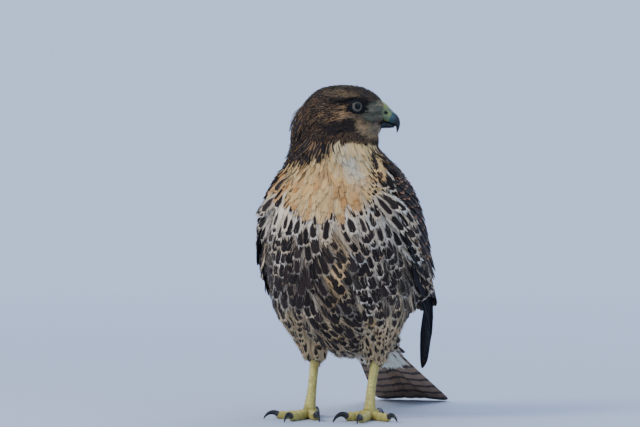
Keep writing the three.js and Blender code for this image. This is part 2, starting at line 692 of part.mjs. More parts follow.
const thighForm = limb(THIGH, 12);
const shankRows = [
  [...ANKLE, SHANK_RADIUS, SHANK_RADIUS * 1.2],
  [33.5, 24.5, 57, SHANK_RADIUS * 0.92, SHANK_RADIUS * 1.1],
  [32.6, 14, 32, SHANK_RADIUS * 0.9, SHANK_RADIUS],
  [FOOT[0], FOOT[1] + 1, FOOT[2] + 2, HUB_RADIUS * 0.9, HUB_RADIUS * 0.8],
  [FOOT[0], FOOT[1], 0.2, HUB_RADIUS * 0.8, HUB_RADIUS * 0.8],
];
const shank = limb(shankRows, 8, 10, 0, SHANK_SCUTES);
const grown = (rows) => rows.map(([x, y, z, w, d]) => [x, y, z, w + GAP, d + GAP]);
const shankClear = limb(grown(shankRows), 8, 10);
const taken = [shankClear]; // what the next toe is cut clear of
const toes = TOES.map((toe) => {
  const rows = toeRows(toe);
  const claw = clawRows(toe);
  const made = limb(rows, 6, 8, 0, TOE_SCUTES).subtract(joined(taken)).subtract(limb(grown(claw), 4, 6));
  taken.push(limb(grown(rows), 6, 8));
  return [toe[0], made, limb(claw, 4, 6, 0.5)];
});
for (const [side, placed] of sides) {
  const thigh = placed(thighForm.subtract(shankClear)).subtract(trunkClear).subtract(bothWings);
  show(`thigh_${side}`, thigh, "breast");
  show(`shank_${side}`, placed(shank), "leg");
  for (const [name, toe, claw] of toes) {
    show(`toe_${name}_${side}`, placed(toe), "leg");
    show(`claw_${name}_${side}`, placed(claw), "horn");
  }
}

export default hawk;
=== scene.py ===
"""The looks of a life-size red-tailed hawk in its first-year plumage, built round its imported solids.

Tables of sizes are in millimetres in the bird's own frame: the chest faces -Y, its left side is +X, and the
floor is at Z = 0. Meshes are written in metres, moved onto the frame of the solids.
"""

import sys
import itertools
import logging
import math
from dataclasses import dataclass
from enum import Enum, IntEnum

import bpy
import numpy as np
from numpy.random import Generator
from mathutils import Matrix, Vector
from mathutils.bvhtree import BVHTree
from mathutils.kdtree import KDTree

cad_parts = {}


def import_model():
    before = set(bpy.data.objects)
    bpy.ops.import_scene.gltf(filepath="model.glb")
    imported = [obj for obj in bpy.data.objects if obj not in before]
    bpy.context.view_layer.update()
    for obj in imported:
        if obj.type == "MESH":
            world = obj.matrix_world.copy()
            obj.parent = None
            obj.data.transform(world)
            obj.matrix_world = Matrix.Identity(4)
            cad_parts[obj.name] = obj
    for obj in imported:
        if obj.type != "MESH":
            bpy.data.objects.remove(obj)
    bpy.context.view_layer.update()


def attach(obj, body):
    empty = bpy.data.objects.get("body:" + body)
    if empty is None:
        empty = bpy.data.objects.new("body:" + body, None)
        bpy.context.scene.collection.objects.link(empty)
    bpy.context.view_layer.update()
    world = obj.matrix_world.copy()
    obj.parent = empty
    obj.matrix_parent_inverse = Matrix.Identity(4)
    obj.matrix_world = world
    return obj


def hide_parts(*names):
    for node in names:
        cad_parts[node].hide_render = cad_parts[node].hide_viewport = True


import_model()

LOG = logging.getLogger("hawk")
Array = np.ndarray
Shape = tuple[Array, Array, Array]
Colour = tuple[int, int, int]

MM = 0.001
SHIFT_Y = -113.0
BODY = "root"
UP = np.array([0.0, 0.0, 1.0])

# Sections of the neck and trunk: spine x, y, z, half width, depth in front of the spine, depth behind it.
TRUNK = np.array([
    [6, 2, 318, 22, 20, 20], [1, 1, 303, 40, 36, 35], [-2, 0, 286, 47, 43, 42], [-2, 0, 269, 53, 50, 47],
    [0, 3, 250, 67, 60, 53], [0, 7, 228, 77, 69, 58], [0, 12, 202, 82, 74, 62], [0, 20, 173, 83, 76, 63],
    [0, 31, 145, 79, 74, 60], [0, 47, 120, 68, 63, 53], [0, 68, 102, 53, 47, 42], [0, 90, 90, 39, 31, 30],
    [0, 113, 79, 30, 19, 20], [0, 138, 66, 27, 11, 12], [0, 174, 49, 22, 3, 3]], float)
HEAD_AT = np.array([21.2, 4, 328.7])
HEAD_TURN = math.radians(10)
# Head sections in its own frame: x forward, top, bottom, half width.
HEAD = np.array([
    [-70, -18, -36, 8], [-64, -5, -44, 19], [-53, 9, -46, 26], [-38, 18.6, -46, 29], [-22, 21.5, -45, 28.6],
    [-9, 21.4, -42, 25.5], [3, 19.6, -38, 22], [12, 15.8, -34, 19], [19, 11.4, -29.5, 15.6],
    [24.5, 7, -25, 12], [28.5, 2.8, -21.5, 9.2]], float)
# One brow: x, y, z, radius.
BROW = np.array([
    [18, 11.4, 5.6, 1.4], [11, 16.4, 7.6, 3], [2, 19.6, 9, 3.8], [-8, 21.8, 9, 3.6],
    [-18, 23.6, 7.4, 2]], float)
# One thigh: x, y, z, half width, half depth.
THIGH = np.array([
    [42, 2, 150, 30, 36], [43, 8, 124, 30, 36], [40, 17, 100, 25, 30], [36, 25, 80, 18, 21],
    [34, 27, 66, 13, 15], [33.5, 27, 58, 9.5, 10.5]], float)
# The neck's feathers where they bunch over the left shoulder: x, y, z, half width, half depth.
CAPE = np.array([[22, 3, 294, 9, 14], [33, 2, 281, 12, 19], [45, 1, 268, 14.5, 22], [54, 0, 254, 16, 22],
                 [60, 2, 238, 15, 20], [64, 6, 220, 12, 16]], float)


class Side(IntEnum):
    """The bird's two sides, as the sign of x."""

    LEFT = 1
    RIGHT = -1

    @property
    def label(self) -> str:
        """Its name at the end of the names of pieces and solids."""
        return self.name.lower()


def turns(count: int) -> Array:
    """Angles spread evenly round a ring."""
    return np.linspace(0, 2 * np.pi, count, endpoint=False)


def linear(red: int, green: int, blue: int) -> Array:
    """Turns a colour as a screen shows it, 0 to 255, into the light that it stands for."""
    share = np.array([red, green, blue]) / 255
    return np.where(share <= 0.04045, share / 12.92, ((share + 0.055) / 1.055) ** 2.4)


def smooth(low: float, high: float, value: Array) -> Array:
    """A smooth step from 0 at low to 1 at high."""
    share = np.clip((np.asarray(value, float) - low) / (high - low), 0, 1)
    return share * share * (3 - 2 * share)


def waves(places: Array, stretch: tuple[float, float, float], seed: int) -> Array:
    """Soft irregular waves over places, mostly between -1 and 1, quickest along the axes of large stretch."""
    rng = np.random.default_rng(seed)
    ways, start = rng.normal(size=(14, 3)) * stretch, rng.uniform(0, 2 * np.pi, 14)
    return np.sin(places @ ways.T + start).sum(1) / 3.2


def unit(vectors: Array) -> Array:
    """Vectors of length 1, along the last axis."""
    return vectors / np.maximum(np.linalg.norm(vectors, axis=-1, keepdims=True), 1e-9)


def between(rows: Array, at: Array) -> Array:
    """Smooth values between the rows of a table, and straight on beyond its ends.

    Args:
        rows: The table, one row of values for each stop.
        at: Places along it, from 0 at the first row to 1 at the last.

    Returns:
        One row of values for each place.
    """
    rows, at = np.asarray(rows, float), np.atleast_1d(np.asarray(at, float))
    inside = np.clip(at, 0, 1)
    last = len(rows) - 1
    i = np.minimum((inside * last).astype(int), last - 1)
    f = (inside * last - i)[:, None]
    a, b, d, e = (rows[np.clip(i + k, 0, last)] for k in (-1, 0, 1, 2))
    value = b + 0.5 * f * (d - a + f * (2 * a - 5 * b + 4 * d - e + f * (3 * (b - d) + e - a)))
    slope = np.where(at[:, None] < 0, (rows[1] - rows[0]) * last / 2, (rows[-1] - rows[-2]) * last / 2)
    return value + slope * (at - inside)[:, None]


def to_head(places: Array) -> Array:
    """Places of the bird's frame in the head's own frame."""
    c, s = math.cos(HEAD_TURN), math.sin(HEAD_TURN)
    x, y, z = (places - HEAD_AT).T
    return np.c_[c * x + s * y, c * y - s * x, z]


def from_head(places: Array) -> Array:
    """Places of the head's own frame in the bird's frame."""
    return head_way(places) + HEAD_AT


def head_way(ways: Array) -> Array:
    """Directions of the head's own frame in the bird's frame."""
    c, s = math.cos(HEAD_TURN), math.sin(HEAD_TURN)
    x, y, z = np.moveaxis(np.asarray(ways, float), -1, 0)
    return np.stack([c * x - s * y, s * x + c * y, z], -1)


# Meshes from arrays

class Form:
    """Closed forms gathered as arrays, and made one mesh object at the end."""

    def __init__(self) -> None:
        """Starts with nothing in it."""
        self.places: list[Array] = []
        self.quads: list[Array] = []
        self.tris: list[Array] = []
        self.layers: dict[str, list[Array]] = {}
        self.count = 0

    def add(self, places: Array, quads: Array, tris: Array, **layers: Array) -> None:
        """Adds one closed form, or many of one kind.

        Args:
            places: Its points, in millimetres in the bird's frame.
            quads: Faces of four points.
            tris: Faces of three points.
            layers: Values for each point, such as a colour, under the name of their attribute.
        """
        self.places.append(places)
        if len(quads):
            self.quads.append(np.asarray(quads) + self.count)
        if len(tris):
            self.tris.append(np.asarray(tris) + self.count)
        for name, values in layers.items():
            self.layers.setdefault(name, []).append(np.asarray(values, float))
        self.count += len(places)

    def loft(self, rings: Array, **layers: Array) -> None:
        """Adds a body through rings of equal count, closed at both ends, with its faces turned outwards.

        Args:
            rings: Points as rings by points by 3.
            layers: One number for each ring, or values as rings by points by their size.
        """
        places, quads, tris = loft(rings)
        stretched = {}
        for name, values in layers.items():
            values = np.asarray(values, float)
            if values.ndim == 1:
                values = np.repeat(values[:, None, None], rings.shape[1], axis=1)
            flat = values.reshape(len(rings) * rings.shape[1], -1)
            stretched[name] = np.r_[flat, values[:1].mean(1), values[-1:].mean(1)]
        self.add(places, quads, tris, **stretched)

    def build(self, name: str, finish: bpy.types.Material, sharp: float = 50) -> bpy.types.Object:
        """Makes the mesh object.

        Args:
            name: The piece's name.
            finish: Its material.
            sharp: Edges that turn by more than this, in degrees, stay sharp.

        Returns:
            The object, at the origin.
        """
        places = np.concatenate(self.places)
        mesh = bpy.data.meshes.new(name)
        quads = np.concatenate(self.quads) if self.quads else np.zeros((0, 4), int)
        tris = np.concatenate(self.tris) if self.tris else np.zeros((0, 3), int)
        corners = np.r_[quads.ravel(), tris.ravel()]
        starts = np.r_[np.arange(len(quads)) * 4, len(quads) * 4 + np.arange(len(tris)) * 3]
        mesh.vertices.add(len(places))
        mesh.vertices.foreach_set("co", world(places).ravel())
        mesh.loops.add(len(corners))
        mesh.loops.foreach_set("vertex_index", corners.astype(np.int32))
        mesh.polygons.add(len(starts))
        mesh.polygons.foreach_set("loop_start", starts.astype(np.int32))
        mesh.update(calc_edges=True)
        for label, parts in self.layers.items():
            write_layer(mesh, label, np.concatenate(parts), corners)
        mesh.shade_smooth()
        mesh.set_sharp_from_angle(angle=math.radians(sharp))
        made = bpy.data.objects.new(name, mesh)
        bpy.context.scene.collection.objects.link(made)
        mesh.materials.append(finish)
        return made


def world(places: Array) -> Array:
    """Places of the bird's frame, in millimetres, in metres in the frame of the solids."""
    return (places + (0, SHIFT_Y, 0)) * MM


def write_layer(mesh: bpy.types.Mesh, label: str, values: Array, corners: Array) -> None:
    """Writes values for each point as an attribute, or as a UV map where they are pairs.

    Args:
        mesh: The mesh.
        label: The name of the attribute.
        values: One row for each point.
        corners: The point of each corner of a face, for UV maps.
    """
    size = values.shape[1] if values.ndim > 1 else 1
    if size == 2:
        mesh.uv_layers.new(name=label).data.foreach_set("uv", values[corners].ravel())
        return
    kind = {1: "FLOAT", 3: "FLOAT_VECTOR"}[size]
    key = {1: "value", 3: "vector"}[size]
    mesh.attributes.new(label, kind, "POINT").data.foreach_set(key, values.ravel())


def loft(rings: Array) -> Shape:
    """A closed body through rings: its points, its faces of four points, and those of three."""
    count, sides = rings.shape[:2]
    places = np.r_[rings.reshape(-1, 3), rings[:1].mean(1), rings[-1:].mean(1)]
    r, k = np.meshgrid(np.arange(count - 1), np.arange(sides), indexing="ij")
    n = (k + 1) % sides
    low, high = r * sides, (r + 1) * sides
    quads = np.stack([low + k, low + n, high + n, high + k], -1).reshape(-1, 4)
    one = np.arange(sides)
    two = (one + 1) % sides
    base = (count - 1) * sides
    tris = np.r_[np.c_[two, one, np.full(sides, count * sides)],
                 np.c_[base + one, base + two, np.full(sides, count * sides + 1)]]
    if volume(places, quads, tris) < 0:
        quads, tris = quads[:, ::-1], tris[:, ::-1]
    return places, quads, tris


def volume(places: Array, quads: Array, tris: Array) -> float:
    """The volume inside faces, less than nothing where they are turned inwards."""
    split = np.r_[quads[:, [0, 1, 2]], quads[:, [0, 2, 3]], tris]
    a, b, c = (places[split[:, k]] for k in range(3))
    return float(np.einsum("ij,ij->", a, np.cross(b, c))) / 6


# Shader maths

class Socket:
    """One shader socket, or a number, with the arithmetic that adds Math nodes."""

    def __init__(self, sheet: "Sheet", socket: bpy.types.NodeSocket) -> None:
        """Wraps a socket of a material."""
        self.sheet = sheet
        self.socket = socket

    def _math(self, operation: str, *others: "Value", clamp: bool = False) -> "Socket":
        """One Math node on this socket and others."""
        values = dict(enumerate((self, *others)))
        return self.sheet.node("ShaderNodeMath", {"operation": operation, "use_clamp": clamp}, values).out()

    def __add__(self, other: "Value") -> "Socket":
        """Sum."""
        return self._math("ADD", other)

    __radd__ = __add__

    def __mul__(self, other: "Value") -> "Socket":
        """Product."""
        return self._math("MULTIPLY", other)

    __rmul__ = __mul__

    def __sub__(self, other: "Value") -> "Socket":
        """Difference."""
        return self._math("SUBTRACT", other)

    def __rsub__(self, other: "Value") -> "Socket":
        """Difference from a number."""
        return self.sheet.value(other)._math("SUBTRACT", self)

    def __truediv__(self, other: "Value") -> "Socket":
        """Quotient."""
        return self._math("DIVIDE", other)

    def __rtruediv__(self, other: "Value") -> "Socket":
        """Quotient of a number."""
        return self.sheet.value(other)._math("DIVIDE", self)

    def __pow__(self, other: "Value") -> "Socket":
        """Power."""
        return self._math("POWER", other)

    def __abs__(self) -> "Socket":
        """Size without its sign."""
        return self._math("ABSOLUTE")

    def wave(self) -> "Socket":
        """Sine."""
        return self._math("SINE")

    def clamped(self) -> "Socket":
        """Kept from 0 to 1."""
        return self._math("ADD", 0.0, clamp=True)

    def step(self, low: "Value", high: "Value") -> "Socket":
        """A smooth step from 0 at low to 1 at high."""
        settings = {"interpolation_type": "SMOOTHSTEP"}
        values = {0: self, 1: low, 2: high, 3: 0.0, 4: 1.0}
        return self.sheet.node("ShaderNodeMapRange", settings, values).out()


Value = Socket | float


class Made:
    """A node that was added to a material."""

    def __init__(self, sheet: "Sheet", node: bpy.types.Node) -> None:
        """Wraps the node."""
        self.sheet = sheet
        self.node = node

    def out(self, which: int | str = 0) -> Socket:
        """One of its outputs."""
        return Socket(self.sheet, self.node.outputs[which])


class Sheet:
    """The nodes of one material, written as expressions."""

    def __init__(self, name: str, **constants: float | tuple[float, ...]) -> None:
        """Starts a material with a Principled shader.

        Args:
            name: The material's name.
            constants: Numbers and colours for the shader's own sockets, by name with _ for a space.
        """
        self.material = bpy.data.materials.new(name)
        self.material.use_nodes = True
        self.tree = self.material.node_tree
        self.shader = next(n for n in self.tree.nodes if n.type == "BSDF_PRINCIPLED")
        for label, value in constants.items():
            self.shader.inputs[label.replace("_", " ").title().replace("Ior", "IOR")].default_value = value

    def node(self, kind: str, settings: dict | None = None, values: dict | None = None) -> Made:
        """Adds a node.

        Args:
            kind: Its type.
            settings: Its own settings, which are set first.
            values: A number or socket for each of its inputs, by place or name.

        Returns:
            The node.
        """
        made = self.tree.nodes.new(kind)
        for label, value in (settings or {}).items():
            setattr(made, label, value)
        for label, value in (values or {}).items():
            if isinstance(value, Socket):
                self.tree.links.new(value.socket, made.inputs[label])
            else:
                made.inputs[label].default_value = value
        return Made(self, made)

    def value(self, number: Value) -> Socket:
        """A number as a socket, or a socket as it is."""
        if isinstance(number, Socket):
            return number
        made = self.node("ShaderNodeValue")
        made.node.outputs[0].default_value = number
        return made.out()

    def attribute(self, name: str) -> Made:
        """Reads an attribute of the mesh."""
        return self.node("ShaderNodeAttribute", {"attribute_name": name})

    def split(self, vector: Socket) -> tuple[Socket, Socket, Socket]:
        """The three numbers of a vector."""
        made = self.node("ShaderNodeSeparateXYZ", None, {0: vector})
        return made.out(0), made.out(1), made.out(2)

    def joined(self, x: Value, y: Value, z: Value) -> Socket:
        """A vector of three numbers."""
        return self.node("ShaderNodeCombineXYZ", None, {0: x, 1: y, 2: z}).out()

    def place(self) -> Socket:
        """The object's own coordinates, in metres."""
        return self.node("ShaderNodeTexCoord").out("Object")

    def map(self, name: str) -> Socket:
        """A UV map."""
        return self.node("ShaderNodeUVMap", {"uv_map": name}).out()

    def noise(self, at: Socket, scale: float, detail: float = 3, rough: float = 0.5) -> Socket:
        """Noise from 0 to 1 at a vector."""
        values = {"Vector": at, "Scale": scale, "Detail": detail, "Roughness": rough}
        return self.node("ShaderNodeTexNoise", None, values).out(0)

    def cells(self, at: Socket, scale: float) -> Socket:
        """Distance to the edges of a pattern of cells."""
        settings = {"feature": "DISTANCE_TO_EDGE"}
        return self.node("ShaderNodeTexVoronoi", settings, {"Vector": at, "Scale": scale}).out(0)

    def mix(self, share: Value, first: Socket | Array | tuple, second: Socket | Array | tuple) -> Socket:
        """A colour between two, by share."""
        ends = [Socket(self, c.socket) if isinstance(c, Socket) else (*c, 1.0) for c in (first, second)]
        made = self.node("ShaderNodeMix", {"data_type": "RGBA"}, {0: share, 6: ends[0], 7: ends[1]})
        return made.out(2)

    def shaded(self, colour: Socket, by: Socket) -> Socket:
        """A colour times a number."""
        grey = self.joined(by, by, by)
        settings = {"data_type": "RGBA", "blend_type": "MULTIPLY"}
        return self.node("ShaderNodeMix", settings, {0: 1.0, 6: colour, 7: grey}).out(2)

    def set(self, label: str, value: Socket) -> None:
        """Links a socket of the shader."""
        self.tree.links.new(value.socket, self.shader.inputs[label])

    def bump(self, height: Socket, distance: float, strength: float = 1.0) -> None:
        """Gives the shader a relief of that height in metres."""
        values = {"Height": height, "Distance": distance, "Strength": strength}
        self.set("Normal", self.node("ShaderNodeBump", None, values).out())


@dataclass(frozen=True)
class FeatherFinish:
    """How feathers are marked and shine. Their colours and marks come from attributes of the mesh.

    Tone is the ground's colour and Ink the mark's. Mark holds the mark's half width, its start, and how far
    from the tip it stops, as shares of the vane. Bars holds the strength of bars across it.
    """

    name: str
    roughness: float = 0.78
    sheen: float = 0.06
    bars: float = 8.0
    barbs: float = 60.0
    relief: float = 0.00018
    silk: float = 0.35

    def make(self) -> bpy.types.Material:
        """Makes the material."""
        s = Sheet(self.name, roughness=self.roughness, sheen_weight=self.sheen, sheen_roughness=0.4,
                  specular_ior_level=0.16)
        u, v, _ = s.split(s.map("Vane"))
        side = abs(u * 2 - 1)
        width, start, stop = s.split(s.attribute("Mark").out("Vector"))
        tone, ink = s.attribute("Tone").out("Vector"), s.attribute("Ink").out("Vector")
        here = s.place()
        strand = s.joined(u * 9 + v * 2, v * 1.6, s.attribute("Bars").out("Vector"))
        silk = s.noise(strand, 2.2, 4, 0.6)
        grain = s.noise(here, 420, 3, 0.6)
        wide = s.noise(here, 38, 2)
        top = v.step(start - 0.06, start + 0.34)
        end = 1 - v.step(0.86 - stop, 1.0 - stop)
        edge = top * end * width * 1.08 - side + (silk - 0.5) * 0.5
        mark = edge.step(-0.04, 0.24)
        bars_on, _, _ = s.split(s.attribute("Bars").out("Vector"))
        band = ((v * (2 * math.pi * self.bars) + side * 1.4 + (silk - 0.5) * 2).wave()).step(0.15, 0.75)
        colour = s.mix((mark * (1 - bars_on * 0.55)).clamped(), tone, ink)
        colour = s.mix((band * bars_on).clamped(), colour, ink)
        shaft = 1 - side.step(0.03, 0.1)
        shade = (silk - 0.5) * self.silk + (grain - 0.5) * 0.3 + (wide - 0.5) * 0.3 + 1 - shaft * 0.18
        s.set("Base Color", s.shaded(colour, shade))
        barb = ((v * self.barbs - side * (self.barbs * 0.2)) * 2).wave() * 0.35
        s.bump(barb + silk * 1.4 + shaft * 0.8, self.relief)
        return s.material


def skin_finish() -> bpy.types.Material:
    """The skin under the coat, with the coat's own markings."""
    s = Sheet("skin_plumage", roughness=0.9, specular_ior_level=0.08)
    here = s.place()
    width, _, _ = s.split(s.attribute("Mark").out("Vector"))
    fine = s.noise(here, 160, 4, 0.65)
    spots = s.noise(here, 75, 2)
    mark = (width * 1.1 + (spots - 0.5) * 1.6 - 0.62).step(0.0, 0.2)
    colour = s.mix(mark, s.attribute("Tone").out("Vector"), s.attribute("Ink").out("Vector"))
    s.set("Base Color", s.shaded(colour, fine * 0.7 + 0.5))
    s.bump(fine, 0.0006)
    return s.material


@dataclass(frozen=True)
class HornFinish:
    """Horn that runs from a paler root to a dark tip, by the attribute Run."""

    name: str
    root: Colour
    tip: Colour
    turn: float

    def make(self) -> bpy.types.Material:
        """Makes the material."""
        s = Sheet(self.name, roughness=0.3, coat_weight=0.18, coat_roughness=0.2, specular_ior_level=0.3)
        run = s.attribute("Run").out("Fac")
        here = s.place()
        cloud = s.noise(here, 190, 3)
        lines = s.noise(s.joined(run * 60, cloud * 2, 0.0), 1.0, 2)
        share = (run + (cloud - 0.5) * 0.25).step(0.0, self.turn)
        colour = s.mix(share, linear(*self.root), linear(*self.tip))
        s.set("Base Color", s.shaded(colour, lines * 0.5 + 0.75))
        s.set("Roughness", 0.22 + cloud * 0.28)
        s.bump(lines + s.noise(here, 900, 2) * 0.4, 0.00016)
        return s.material


@dataclass(frozen=True)
class HideFinish:
    """Bare skin: waxy or scaled, in two colours that mix in patches, with near-black painted shade in the
    hollows that the attribute Run marks.
    """

    name: str
    light: Colour
    dark: Colour
    cells: float = 500.0
    relief: float = 0.0003
    roughness: float = 0.5
    patches: float = 120.0
    grooves: float = 0.45

    def make(self) -> bpy.types.Material:
        """Makes the material."""
        s = Sheet(self.name, roughness=self.roughness, coat_weight=0.06, coat_roughness=0.35,
                  specular_ior_level=0.3, subsurface_weight=0.12, subsurface_radius=(0.004, 0.002, 0.001),
                  subsurface_scale=0.4)
        light, dark = linear(*self.light), linear(*self.dark)
        here = s.place()
        cloud = s.noise(here, self.patches, 4, 0.6)
        cells = s.cells(here, self.cells)
        groove = 1 - cells.step(0.0, 0.12)
        hollow_shade = s.attribute("Run").out("Fac")
        colour = s.mix(cloud.step(0.35, 0.7), light, dark)
        colour = s.mix((groove * self.grooves).clamped(), colour, dark * 0.45)
        # Painted shade: where Run marks a hollow, such as a nostril, the skin is painted near black.
        colour = s.mix(hollow_shade.clamped(), colour, (0.012, 0.011, 0.008))
        s.set("Base Color", colour)
        s.set("Roughness", self.roughness + (cloud - 0.5) * 0.2)
        s.bump(cells.step(0.0, 0.2) + cloud * 0.5, self.relief)
        return s.material


def eye_finish() -> bpy.types.Material:
    """A wet eye: black pupil, pale iris with fine spokes and painted shade over its top, dark outer ring."""
    s = Sheet("eye_wet", roughness=0.4, coat_weight=0.65, coat_roughness=0.02, coat_ior=1.34,
              specular_ior_level=0.05)
    out = s.attribute("Run").out("Fac")
    spoke = s.attribute("Spoke").out("Vector")
    fibres = s.noise(spoke, 7.0, 4, 0.65)
    cloud = s.noise(spoke, 1.6, 2)
    iris = s.mix(fibres.step(0.3, 0.75), linear(60, 58, 54), linear(116, 112, 100))
    iris = s.mix((cloud * 0.6).clamped(), iris, linear(92, 80, 60))
    near = out + (fibres - 0.5) * 0.02
    _, high, _ = s.split(spoke)
    # Painted shade from the brow: the iris colour is darkened towards its top and lightened a little at its
    # bottom.
    iris = s.shaded(iris, 1.08 - high.step(-1.5, 3.0) * 0.5)
    colour = s.mix(near.step(0.335, 0.37), (0.001, 0.001, 0.001), iris)
    colour = s.mix(near.step(0.58, 0.7), colour, (0.006, 0.006, 0.007))
    s.set("Base Color", colour)
    s.bump(fibres, 0.00008)
    return s.material


def floor_finish() -> bpy.types.Material:
    """A plain pale floor that runs out into the sky's own light far behind the bird."""
    s = Sheet("floor_pale", roughness=0.7, specular_ior_level=0.1)
    cloud = s.noise(s.place(), 1.3, 2)
    s.set("Base Color", s.mix(cloud * 0.3, linear(196, 202, 214), linear(186, 193, 208)))
    far = s.node("ShaderNodeVectorMath", {"operation": "LENGTH"}, {0: s.place()}).out(1).step(0.35, 3.0)
    glow = s.node("ShaderNodeEmission", None, {"Color": (*Studio.sky, 1.0)}).node.outputs[0]
    blend = s.node("ShaderNodeMixShader", None, {0: far}).node
    s.tree.links.new(s.shader.outputs[0], blend.inputs[1])
    s.tree.links.new(glow, blend.inputs[2])
    s.tree.links.new(blend.outputs[0], s.tree.nodes["Material Output"].inputs[0])
    return s.material


# Plumage: where feathers lie, which way, and how they are marked

SPINE_AT = np.linspace(0, 1, 161)
SPINE = between(TRUNK, SPINE_AT)
SPINE_WAY = unit(np.c_[np.zeros(len(SPINE)), np.gradient(SPINE[:, 1:3], axis=0)])
SPINE_BACK = np.c_[np.zeros(len(SPINE)), -SPINE_WAY[:, 2], SPINE_WAY[:, 1]]


class Lie:
    """Where each place of the body is: along the spine, round it, in the head's frame and on a thigh.

    Across and up are as the eye meets them from the front. The lines hold places across and their heights.
    """

    VIEW = (0.951, 0.309)
    BIB_LINE = ([-67, -53, -34, -17, 0, 12, 28, 42, 52], [227, 221, 212, 207, 209, 214, 223, 237, 247])
    COLLAR_LINE = ([-72, -49, -34, -18, -9, 2, 10, 34, 44, 57, 64, 76],
                   [254, 264, 267, 270, 277, 284, 290.5, 289, 275, 252, 238, 212])

    def __init__(self, places: Array) -> None:
        """Works out the measures that the coat is laid by.

        Args:
            places: Places in the bird's frame.
        """
        self.places = places
        self.head = to_head(places)
        gap = places[:, None, 1:] - SPINE[None, :, 1:3]
        near = np.einsum("ijk,ijk->ij", gap, gap)
        along = gap[..., 0] * SPINE_WAY[:, 1] + gap[..., 1] * SPINE_WAY[:, 2]
        self.at = np.argmin(np.abs(along) + 0.012 * near ** 0.5, axis=1)
        row = SPINE[self.at]
        offset = places - row[:, :3]
        self.depth = np.einsum("ij,ij->i", offset, SPINE_BACK[self.at])
        self.side = offset[:, 0] / row[:, 3]
        reach = np.where(self.depth > 0, row[:, 5], row[:, 4])
        self.round = np.arctan2(np.abs(self.side), -self.depth / reach)
        self.share = SPINE_AT[self.at]
        x, y, z = places.T
        leg = np.clip((THIGH[0, 2] - z) / (THIGH[0, 2] - THIGH[-1, 2]), 0, 1)
        form = np.array([np.interp(z, THIGH[::-1, 2], THIGH[::-1, k]) for k in (0, 1, 3, 4)])
        reach = ((np.abs(x) - form[0]) / form[2]) ** 2 + ((y - form[1]) / form[3]) ** 2
        self.thigh = smooth(1.45, 1.0, reach) * smooth(0.18, 0.5, leg)
        self.on_head = 1 - np.maximum(smooth(-42, -64, self.head[:, 0]),
                                      smooth(-28, -43, self.head[:, 2] + 0.12 * self.head[:, 0]))
        self.on_head *= smooth(283, 292, z)
        self.across = x * self.VIEW[0] + y * self.VIEW[1]
        self.up = z
        self.wing, self.brink = wing_near(places)
        self.grain = waves(places, (0.3, 0.3, 0.25), 5)
        self.streak = waves(self.head, (0.13, 0.5, 1.1), 6)
        self.bib_edge = np.interp(self.across, *self.BIB_LINE) + 2.5 * self.grain

    def flow(self) -> Array:
        """The way that feathers point at each place, before it is laid into the surface."""
        trunk = SPINE_WAY[self.at].copy()
        trunk[:, 0] = 0.25 * np.sign(self.side) * smooth(0, 0.6, np.abs(self.side)) * (self.depth < 0)
        parting = np.exp(-((self.across + 6) / 24) ** 2)
        parting = parting * smooth(214, 186, self.up) * smooth(60, 110, self.up)
        trunk[:, 0] += 0.62 * parting * (self.depth < 0)
        outwards = np.sign(self.places[:, :1])
        trunk += self.brink[:, None] * np.where([True, False, False], 0.5 * outwards, [0, 0.35, 0])
        x, y, z = self.head.T
        face = np.tile([-1.0, 0, 0], (len(x), 1))
        face[:, 2] = -0.55 * smooth(2, -26, z) - 0.9 * smooth(-26, -60, x)
        face[:, 2] += 0.22 * smooth(-6, 12, x) * (z > 0)
        face[:, 1] = 0.25 * np.sign(y) * smooth(20, 0, x) * smooth(6, -10, z)
        leg = np.tile([0, 0.12, -1.0], (len(x), 1))
        way = trunk + (head_way(face) - trunk) * self.on_head[:, None]
        return unit(way + (leg - way) * self.thigh[:, None])

    def collar(self) -> Array:
        """How far each place lies above the line where the dark neck meets the chest, in millimetres."""
        line = np.interp(self.across, *self.COLLAR_LINE)
        back = smooth(1.5, 2.0, self.round)
        return self.up - line + back * 400 + 3 * self.grain


@dataclass(frozen=True)
class Patch:
    """A patch of one colour on the side of the head, in the head's own frame."""

    x: float
    z: float
    long: float
    high: float
    tone: Colour
    ink: Colour
    width: float
    strength: float = 1.0
    tilt: float = 0.0


